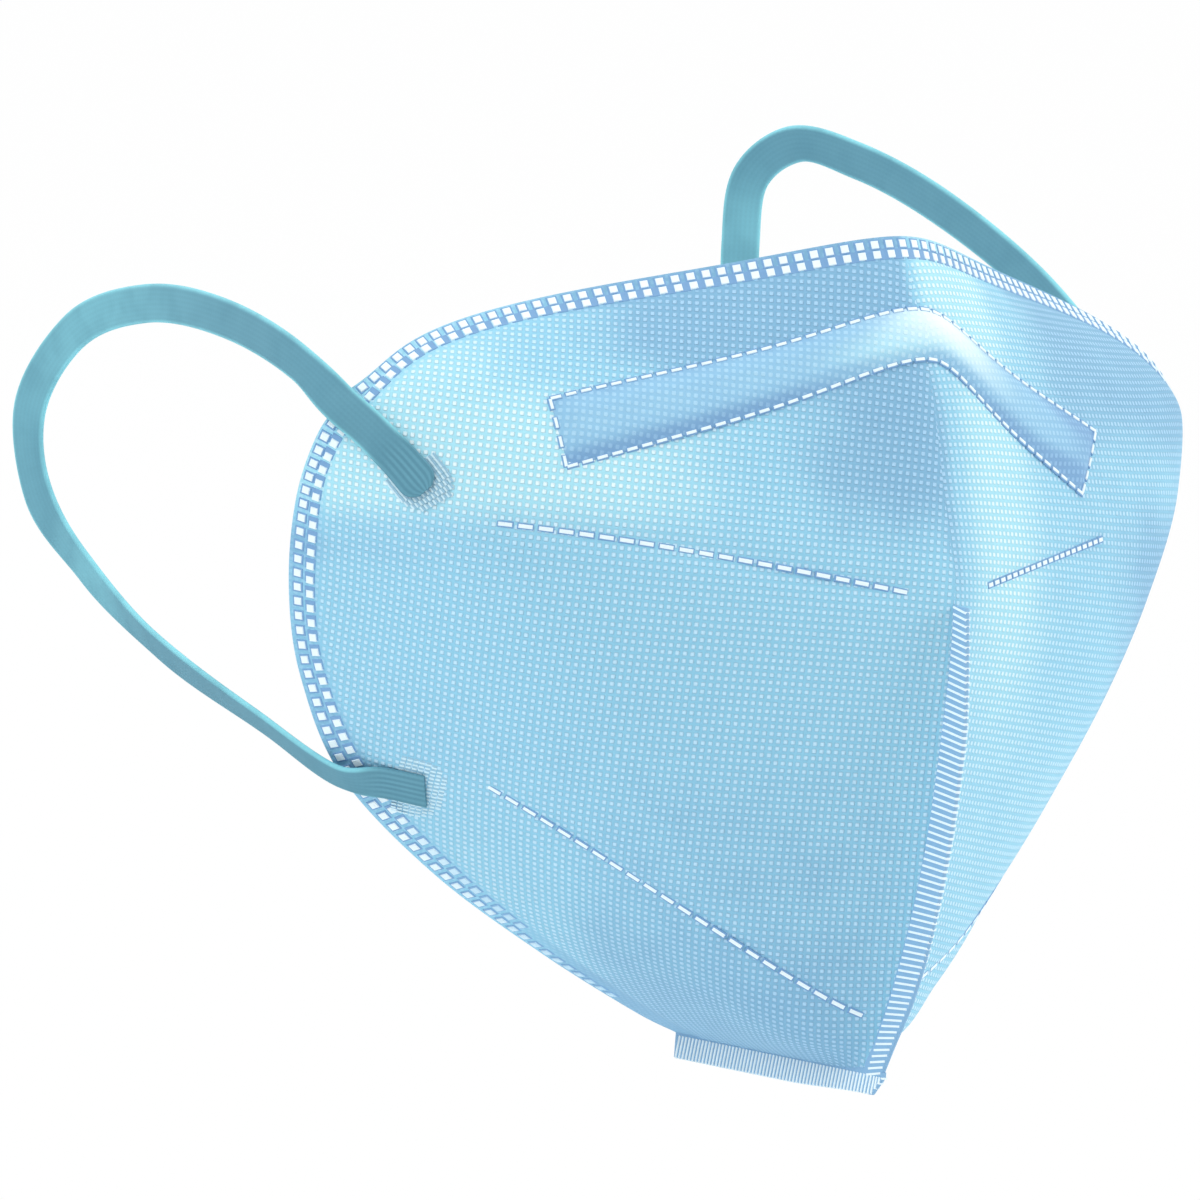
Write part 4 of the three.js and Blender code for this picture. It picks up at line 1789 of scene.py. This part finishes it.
@dataclass
class Fins:
    """The pressed fins that close the front fold and the chin, with the ribs of the weld tool."""

    surface: PanelSurface
    thickness: float = 0.9
    front_depth: float = 5.6
    front_top: float = 85.0
    chin_depth: float = 3.75
    chin_front_depth: float = 3.1
    chin_taper: float = 22.0
    lead: float = 1.9
    nib: float = 4.6
    root: float = 0.9
    gap: float = 0.3
    front_pitch: float = 1.18
    front_rib: float = 0.47
    chin_pitch: float = 0.93
    chin_rib: float = 0.47
    lean: float = 0.2
    foot_depth: float = 3.2
    foot_length: float = 24.0
    tilts: tuple[tuple[float, float], ...] = ((0.0, -12.0), (18.0, -3.0), (44.0, 4.6), (85.0, 10.0))
    top_taper: float = 0.42
    top_dip: float = 0.7
    thinner: float = 0.06

    def _seam(self, reach: Array, level: Array) -> tuple[Array, Array]:
        """A seam in the middle plane.

        Args:
            reach: The seam's reaches.
            level: The seam's levels.

        Returns:
            Its points, and its directions turned by a quarter, forwards on the fold and up on the chin.
        """
        seam = self.surface.point(reach, level)
        seam[:, 0] = 0.0
        along = unit(np.gradient(seam, axis=0))
        return seam, np.stack([0 * reach, -along[:, 2], along[:, 1]], -1)

    def _plate(self, name: str, root: Array, tip: Array, half: float) -> Piece:
        """Makes a plate in the middle plane with a round outer edge.

        Args:
            name: The piece's name.
            root: The points along its root.
            tip: The points along its outer edge.
            half: Half its thickness.

        Returns:
            The plate.
        """
        out = unit(tip - root)
        turns = np.radians(np.linspace(90, -90, 7))
        side = np.concatenate([[half], half * np.sin(turns), [-half]])
        rings = np.zeros((len(root), len(side), 3))
        for k in range(len(side)):
            if k in (0, len(side) - 1):
                rings[:, k] = root
            else:
                rings[:, k] = tip - out * (half * 0.6 * (1.0 - np.cos(turns[k - 1])))
            rings[:, k, 0] = side[k]
        piece = mesh_object(name, rings.reshape(-1, 3), ringed(rings))
        faces = piece.data.polygons
        if sum(Vector(piece.data.vertices[f.vertices[0]].co).dot(f.normal) * f.area for f in faces) < 0:
            piece.data.flip_normals()
        smooth_shaded(piece, 50.0)
        return piece

    def _ribbed(
        self, welder: Welder, fin: Piece, node: str, middle: Array, along: Array,
        size: Array, pitch: float, rib: Pad,
    ) -> list[Piece]:
        """Settles a fin and sets ribs across it.

        Args:
            welder: The weld tool.
            fin: The fin's plate.
            node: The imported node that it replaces.
            middle: The points along the fin's middle.
            along: The direction of the ribs at each point.
            size: The ribs' length at each point, as a share.
            pitch: The step from rib to rib.
            rib: The size of a rib.

        Returns:
            The fin and its ribs.
        """
        ribs = Path().line(
            middle,
            along=along,
            face=np.tile([1.0, 0.0, 0.0], (len(middle), 1)),
            scale=np.stack([size, 0 * size + 1, 0 * size + 1], -1),
        )
        settle(fin, "weld_fin", node)
        return [fin, welder.press(fin.name + "_ribs", ribs, "weld_fin", pitch, rib, True)]

    def build_front(self, welder: Welder, plate: Material) -> list[Piece]:
        """Makes the front fin and its ribs.

        Args:
            welder: The weld tool.
            plate: The finish of the fin.

        Returns:
            The pieces.
        """
        levels = np.linspace(0.0, self.front_top, 90)
        fold, out = self._seam(np.zeros_like(levels), levels)
        full = self.front_depth * (1.0 - self.top_taper * smooth(60.0, self.front_top, levels))
        wide = self.foot_depth + (full - self.foot_depth) * smooth(-6.0, self.foot_length, levels)
        tip = fold + out * (self.gap + wide)[:, None]
        tip[-1, 2] -= self.top_dip
        fin = self._plate("front_fin", fold - out * self.root, tip, self.thickness / 2)
        fin.data.materials.append(plate)
        tilt = np.radians(np.interp(levels, *np.array(self.tilts).T))
        along = np.stack([0 * tilt, -np.cos(tilt), -np.sin(tilt)], -1)
        length = self.front_depth + self.gap
        rib = Pad(length + 0.1, self.front_rib, self.thickness + 0.2, 0.05)
        middle, size, inner = (fold + tip) / 2, (wide + self.gap) / length, slice(1, -1)
        return self._ribbed(
            welder, fin, "front_seam", middle[inner], along[inner], size[inner], self.front_pitch, rib
        )

    def build_chin(self, welder: Welder, plate: Material) -> list[Piece]:
        """Makes the chin fin and its ribs.

        Args:
            welder: The weld tool.
            plate: The finish of the fin.

        Returns:
            The pieces.
        """
        run = np.linspace(0.0, float(self.surface.length(np.array(0.0))), 60)
        seam, up = self._seam(run, np.zeros_like(run))
        out = -up
        deeper = self.chin_depth - self.chin_front_depth
        wide = self.chin_front_depth + deeper * smooth(0, self.chin_taper, run)
        nib, lead = (seam[0] + (0.0, -ahead, 0.0) for ahead in (self.nib, self.lead))
        down = out * (self.gap + wide)[:, None]
        tip = np.concatenate([[nib + out[0] * self.gap, lead + down[0]], seam + down])
        seam = np.concatenate([[nib, lead], seam])
        out = np.concatenate([out[:1], out[:1], out])
        fin = self._plate("chin_fin", seam - out * self.root, tip, self.thickness / 2 - self.thinner)
        fin.data.materials.append(plate)
        length = self.chin_depth + self.gap
        rib = Pad(length + 0.1, self.chin_rib, self.thickness + 0.16, 0.04)
        middle, size = (seam + tip) / 2, np.linalg.norm(tip - seam, axis=1) / length
        along = unit(out + (0.0, self.lean, 0.0))
        return self._ribbed(
            welder, fin, "chin_seam", middle[:-1], along[:-1], size[:-1], self.chin_pitch, rib
        )


class Anchor(NamedTuple):
    """A point of a loop's end, laid on the panel at a clearance over the cloth."""

    reach: float
    level: float
    clear: float


class Station(NamedTuple):
    """A free point of a loop, and how far its face is turned from facing straight out to the side."""

    x: float
    y: float
    z: float
    turn: float


@dataclass
class EarLoop:
    """A knitted flat elastic, welded to the outside of a panel at both ends."""

    surface: PanelSurface
    side: Side
    upper: tuple[Anchor, ...]
    stations: tuple[Station, ...]
    # painted highlights along the band: where each lies, as a share of its length, and its width
    highlights: tuple[tuple[float, float], ...]
    lower: tuple[Anchor, ...] = (
        Anchor(105.5, 47.5, 1.2),
        Anchor(97.5, 46.3, 0.5),
        Anchor(89.5, 45.2, 0.4),
    )
    arrival: float = -18.0
    width: float = 6.8
    thickness: float = 1.0
    welded: float = 9.5
    soft: float = 3.0
    pressed: float = 0.42
    flared: float = 0.05
    flare_length: float = 12.0
    step: float = 0.9
    stripe: float = 0.82
    first_row: float = -2.9
    last_row: float = 6.0
    row_step: float = 1.22
    margin: float = 1.5

    def path(self) -> tuple[Array, Array, Array]:
        """The band's middle line.

        Returns:
            Its points, the directions its face looks in, and the length run at each point.
        """
        sign = self.side.value
        knots, faces, turns = [], [], []
        for anchor in self.upper:
            self._lay(anchor, knots, faces, turns)
        for s in self.stations:
            knots.append(np.array([sign * s.x, s.y, s.z]))
            faces.append(np.array([float(sign), 0.0, 0.0]))
            turns.append(sign * math.radians(s.turn))
        for anchor in self.lower:
            self._lay(anchor, knots, faces, turns)
        turns[-len(self.lower)] = sign * math.radians(self.arrival)
        points, spans = self._curve(np.array(knots))
        tangents = unit(np.gradient(points, axis=0))
        at_knots = [int(np.argmin(np.abs(spans - k))) for k in range(len(knots))]
        facing = []
        for k, face, turn in zip(at_knots, faces, turns):
            t = tangents[k]
            flat = unit(face - t * (face @ t))
            facing.append(flat * math.cos(turn) + np.cross(t, flat) * math.sin(turn))
        facing = np.array(facing)
        low = np.minimum(spans.astype(int), len(knots) - 2)
        share = smooth(0.0, 1.0, spans - low)[:, None]
        face = facing[low] * (1 - share) + facing[low + 1] * share
        face = unit(face - tangents * (face * tangents).sum(1, keepdims=True))
        run = np.concatenate([[0.0], np.cumsum(np.linalg.norm(np.diff(points, axis=0), axis=1))])
        return points, face, run

    def _lay(self, anchor: Anchor, knots: list, faces: list, turns: list) -> None:
        """Adds an anchor point to the band's knots.

        Args:
            anchor: The anchor.
            knots: The band's points so far.
            faces: The direction that its face looks in at each.
            turns: How far it is turned from there, in radians.
        """
        reach, level = np.array([anchor.reach * self.side.value]), np.array([anchor.level])
        height = np.array([anchor.clear + self.thickness / 2])
        knots.append(self.surface.over(reach, level, height)[0])
        faces.append(self.surface.normal(reach, level)[0])
        turns.append(0.0)

    def _curve(self, knots: Array) -> tuple[Array, Array]:
        """A centripetal curve through knots, in even steps of each span.

        Args:
            knots: The points it goes through.

        Returns:
            Its points, and for each its place counted in spans.
        """
        padded = np.concatenate([[2 * knots[0] - knots[1]], knots, [2 * knots[-1] - knots[-2]]])
        points, spans = [], []
        for k in range(len(knots) - 1):
            a, b, c, d = padded[k : k + 4]
            t0, t1, t2 = (math.sqrt(np.linalg.norm(q - p)) for p, q in ((a, b), (b, c), (c, d)))
            start = ((b - a) / t0 - (c - a) / (t0 + t1) + (c - b) / t1) * t1
            end = ((c - b) / t1 - (d - b) / (t1 + t2) + (d - c) / t2) * t1
            count = max(3, round(float(np.linalg.norm(c - b)) / self.step))
            last = 1 if k == len(knots) - 2 else 0
            t = (np.arange(count + last) / count)[:, None]
            square, cube = 3 * (c - b) - 2 * start - end, 2 * (b - c) + start + end
            points.append(b + start * t + square * t**2 + cube * t**3)
            spans.append(k + t[:, 0])
        return np.concatenate(points), np.concatenate(spans)

    def build(self, bands: Recipe, welder: Welder, elastic: Material) -> list[Piece]:
        """Makes the band and the pressed stripes round its two ends.

        Args:
            bands: The recipe for a band along a path.
            welder: The weld tool.
            elastic: The band's finish.

        Returns:
            The pieces.
        """
        points, face, run = self.path()
        to_end = np.minimum(run, run[-1] - run)
        weld = 1 - smooth(self.welded - self.soft, self.welded + self.soft, to_end)
        tip = np.clip(1.0 - run / (self.width / 2 * 0.8), 0.0, 1.0)
        rounded = (1.0 - np.sqrt(1.0 - (tip * 0.94) ** 2)) * 0.9
        flare = self.flared * (1 - smooth(0.0, self.flare_length, to_end))
        # painted highlights along the band
        glow = sum(0.9 * np.exp(-(((run / run[-1] - at) / reach) ** 2)) for at, reach in self.highlights)
        path = Path().line(
            points - face * (self.pressed * weld)[:, None],
            face=face, run=run, press=self.pressed * weld, weld=weld, glow=glow, narrow=rounded - flare,
        )
        name = self.side.name.lower()
        band = bands.run(
            f"elastic_loop_{name}", path, elastic, Width=self.width, Thickness=self.thickness, Corner=0.46
        )
        smooth_shaded(band, 60.0)
        made = [settle(band, "elastic", f"ear_loop_{name}")]
        for label, shift, pale, height in (("pale", 0.0, True, 0.14), ("deep", 0.5, False, 0.12)):
            stripes = Path()
            for anchor, following in (self.upper[:2], self.lower[:-3:-1]):
                self._stripes(stripes, anchor, following, shift)
            pad = Pad(0.95, 0.36, height, 0.04)
            name_of = f"anchor_stripes_{label}_{name}"
            made.append(welder.press(name_of, stripes, "nonwoven", self.stripe, pad, pale))
        return made

    def _stripes(self, path: Path, end: Anchor, following: Anchor, shift: float) -> None:
        """Adds the rows of stripes round one end of the band.

        Args:
            path: The lines to add to.
            end: The band's last anchor.
            following: The anchor after it, towards the free band.
            shift: How far the rows are moved across, in stripes.
        """
        sign = self.side.value
        direction = np.array([following.reach - end.reach, following.level - end.level])
        direction = direction / np.linalg.norm(direction)
        aside = np.array([-direction[1], direction[0]])
        for row in np.arange(self.first_row, self.last_row, self.row_step):
            narrowed = max(0.0, 1.6 - row) / 5.4
            wide = (self.width / 2 + self.margin) * math.sqrt(max(0.0, 1 - narrowed**2))
            stagger = 0.2 * math.sin(5.0 * row)
            across = np.linspace(-wide, wide, 24) + (shift + stagger) * self.stripe
            reach = end.reach + direction[0] * row + aside[0] * across
            level = end.level + direction[1] * row + aside[1] * across
            ahead = self.surface.point(sign * (reach + direction[0]), level + direction[1])
            along = unit(ahead - self.surface.point(sign * reach, level))
            path.on(self.surface, sign * reach, level, 0.02, along=along)


RIGHT_UPPER = (
    Anchor(92.5, 107.0, 0.4),
    Anchor(97.0, 115.5, 0.4),
    Anchor(101.2, 124.5, 0.6),
    Anchor(105.0, 134.5, 1.4),
)
LEFT_UPPER = (
    Anchor(102.5, 86.5, 0.4),
    Anchor(106.5, 93.5, 0.4),
    Anchor(110.5, 101.0, 0.5),
    Anchor(113.6, 108.5, 1.6),
)
RIGHT_STATIONS = (
    Station(95.0, 22.0, 44.5, 0),
    Station(91.0, 49.0, 48.5, 0),
    Station(86.0, 78.0, 47.0, 0),
    Station(83.0, 101.0, 39.0, 8),
    Station(80.0, 115.5, 23.0, 15),
    Station(79.0, 112.5, 9.5, 5),
    Station(79.0, 98.0, -1.3, -18),
    Station(80.0, 74.0, -11.9, -34),
    Station(81.0, 41.5, -20.8, -43),
)
LEFT_STATIONS = (
    Station(97.2, 27.0, 29.0, 0),
    Station(95.5, 40.0, 42.0, 0),
    Station(91.5, 55.0, 54.0, 0),
    Station(87.0, 79.0, 65.0, 0),
    Station(84.0, 98.5, 70.0, -5),
    Station(81.0, 112.5, 71.0, -25),
    Station(79.0, 121.5, 64.0, -48),
    Station(78.0, 121.5, 52.5, -50),
    Station(77.5, 117.5, 35.0, -40),
    Station(77.5, 106.0, 14.0, -25),
    Station(79.0, 89.5, -4.5, -20),
    Station(81.0, 66.5, -18.5, -32),
)


# ---------------------------------------------------------------- the studio
class SoftBox(NamedTuple):
    """A square light that looks at the origin, with its place and side in metres and its power in watts."""

    name: str
    place: tuple[float, float, float]
    side: float
    power: float
    colour: tuple[float, float, float]


LIGHTS = (
    SoftBox("key_right", (1.25, -0.75, 0.75), 0.9, 13.3, (0.99, 1.0, 0.99)),
    SoftBox("key_left", (-1.3, -0.25, 1.0), 0.8, 10.5, (0.94, 1.0, 1.03)),
    SoftBox("top", (-0.1, 0.2, 1.5), 0.9, 7.0, (1.0, 0.99, 0.96)),
    SoftBox("back", (0.2, 1.5, 0.6), 1.0, 8.0, (1.0, 1.0, 1.0)),
)
WHITE: Colour = (1.0, 1.0, 1.0, 1.0)


@dataclass
class Studio:
    """A pale floor, soft light and the camera."""

    azimuth: float = 38.0
    nod: float = 8.0
    distance: float = 9.6
    image_width: float = 206.9
    aside: float = -32.7
    above: float = 6.3
    floor_drop: float = 60.0
    floor_size: float = 14.0
    floor_glow: float = 0.99
    air: Colour = (0.90, 0.96, 1.0, 1.0)
    air_strength: float = 0.52

    def build(self) -> None:
        """Makes the floor, the lights and the camera."""
        self._floor()
        self._world()
        for light in LIGHTS:
            self._light(light)
        self._camera()
        bpy.context.scene.view_settings.view_transform = "Standard"

    @staticmethod
    def _seen(
        tree: Tree, lit: Socket, seen: Socket, share: float, output: str
    ) -> None:
        """Shows one shader to the camera and another to the light.

        Args:
            tree: The tree of both shaders.
            lit: The shader that light meets.
            seen: The shader that the camera sees.
            share: How much of it the camera sees.
            output: The tree's output node.
        """
        ray = tree.add("ShaderNodeLightPath")
        amount = tree.times(ray.outputs["Is Camera Ray"], share)
        mixed = tree.join(tree.add("ShaderNodeMixShader"), amount, lit, seen)
        tree.put(mixed, tree.tree.nodes[output].inputs["Surface"])

    def _floor(self) -> None:
        """Makes the floor, which shows white and takes only a faint shadow."""
        half = self.floor_size / 2 / MM
        low = CAD_BOX[0].z / MM - self.floor_drop
        corners = [[-half, -half, low], [half, -half, low], [half, half, low], [-half, half, low]]
        floor = mesh_object("floor", np.array(corners), [[0, 1, 2, 3]])
        s = Shader("pale_floor")
        s.set(Base_Color=srgb(236, 240, 243), Roughness=0.9)
        glow = s.join(s.add("ShaderNodeEmission"), WHITE)
        self._seen(s, s.shader.outputs[0], glow, self.floor_glow, "Material Output")
        floor.data.materials.append(s.material)

    def _world(self) -> None:
        """Makes the world a soft pale light, white where it is seen."""
        world = bpy.data.worlds.new("studio")
        world.use_nodes = True
        bpy.context.scene.world = world
        tree = Tree(world.node_tree)
        soft = tree.join(tree.tree.nodes["Background"], self.air, self.air_strength)
        seen = tree.join(tree.add("ShaderNodeBackground"), WHITE)
        self._seen(tree, soft, seen, 1.0, "World Output")

    @staticmethod
    def _light(box: SoftBox) -> None:
        """Makes one light.

        Args:
            box: The light.
        """
        data = bpy.data.lights.new(box.name, "AREA")
        data.energy, data.size, data.color = box.power, box.side, box.colour
        light = bpy.data.objects.new(box.name, data)
        bpy.context.scene.collection.objects.link(light)
        light.location = box.place
        light.rotation_euler = (-Vector(box.place)).to_track_quat("-Z", "Y").to_euler()
        light.visible_camera = False

    def _camera(self) -> None:
        """Makes the camera, which sees the mask nodded forwards and turned to its wearer's left."""
        turn, nod = math.radians(self.azimuth), math.radians(self.nod)
        nodded = Matrix.Rotation(-nod, 3, "X")
        right = nodded @ Vector((math.cos(turn), -math.sin(turn), 0.0))
        back = nodded @ Vector((-math.sin(turn), -math.cos(turn), 0.0))
        up = back.cross(right)
        data = bpy.data.cameras.new("camera")
        data.sensor_width = 36.0
        data.lens = data.sensor_width * self.distance / (self.image_width * MM)
        data.clip_start, data.clip_end = 0.1, 50.0
        camera = bpy.data.objects.new("camera", data)
        bpy.context.scene.collection.objects.link(camera)
        camera.location = right * (self.aside * MM) + up * (self.above * MM) + back * self.distance
        camera.rotation_euler = Matrix((right, up, back)).transposed().to_euler()
        bpy.context.scene.camera = camera


def main() -> None:
    surface = PanelSurface(SECTIONS)
    area = surface.flatten(81, 65)
    log.info("panel area: %.0f mm2", area)
    pads, bands = pad_recipe(), band_recipe()
    pressed = {
        name: PressedFinish(name, srgb(*colour), srgb(*faded), roughness).build()
        for name, colour, faded, roughness in (
            ("pressed_pale", (244, 253, 255), (176, 218, 240), 0.5),
            # the darker frames round the weld pads: squeezed cloth and painted shade
            ("pressed_deep_shade", (124, 166, 208), (140, 184, 220), 0.6),
            ("stripe_pale", (214, 239, 248), (214, 239, 248), 0.6),
            ("stripe_deep", (158, 198, 218), (158, 198, 218), 0.6),
            ("fin_plate", (140, 182, 216), (140, 182, 216), 0.62),
        )
    }
    welder = Welder(pads, pressed["pressed_pale"], pressed["pressed_deep_shade"])
    stripes = Welder(pads, pressed["stripe_pale"], pressed["stripe_deep"])
    shell = MaskShell(surface).build(NonwovenFinish().build(), LiningFinish().build())
    on_cloth = EdgeWeld(surface).build(welder) + PanelWelds(surface).build(welder)
    strip = NoseStrip(surface)
    on_cloth.append(strip.build_cover(STRIP_CLOTH.build()))
    on_cloth += strip.build_outline(welder)
    fins = Fins(surface)
    on_cloth += fins.build_front(welder, pressed["fin_plate"])
    on_cloth += fins.build_chin(welder, pressed["fin_plate"])
    # each loop's painted highlights are given as shares of its length, with their widths
    loops = (
        EarLoop(surface, Side.RIGHT, RIGHT_UPPER, RIGHT_STATIONS, ((0.42, 0.13), (0.66, 0.05))),
        EarLoop(surface, Side.LEFT, LEFT_UPPER, LEFT_STATIONS, ((0.5, 0.032),)),
    )
    knit = ElasticFinish().build(loops[0].width / 2)
    for loop in loops:
        on_cloth += loop.build(bands, stripes, knit)[1:]
    Studio().build()


if __name__ == "__main__":
    logging.basicConfig(level=logging.INFO, format="%(name)s: %(message)s")
    main()
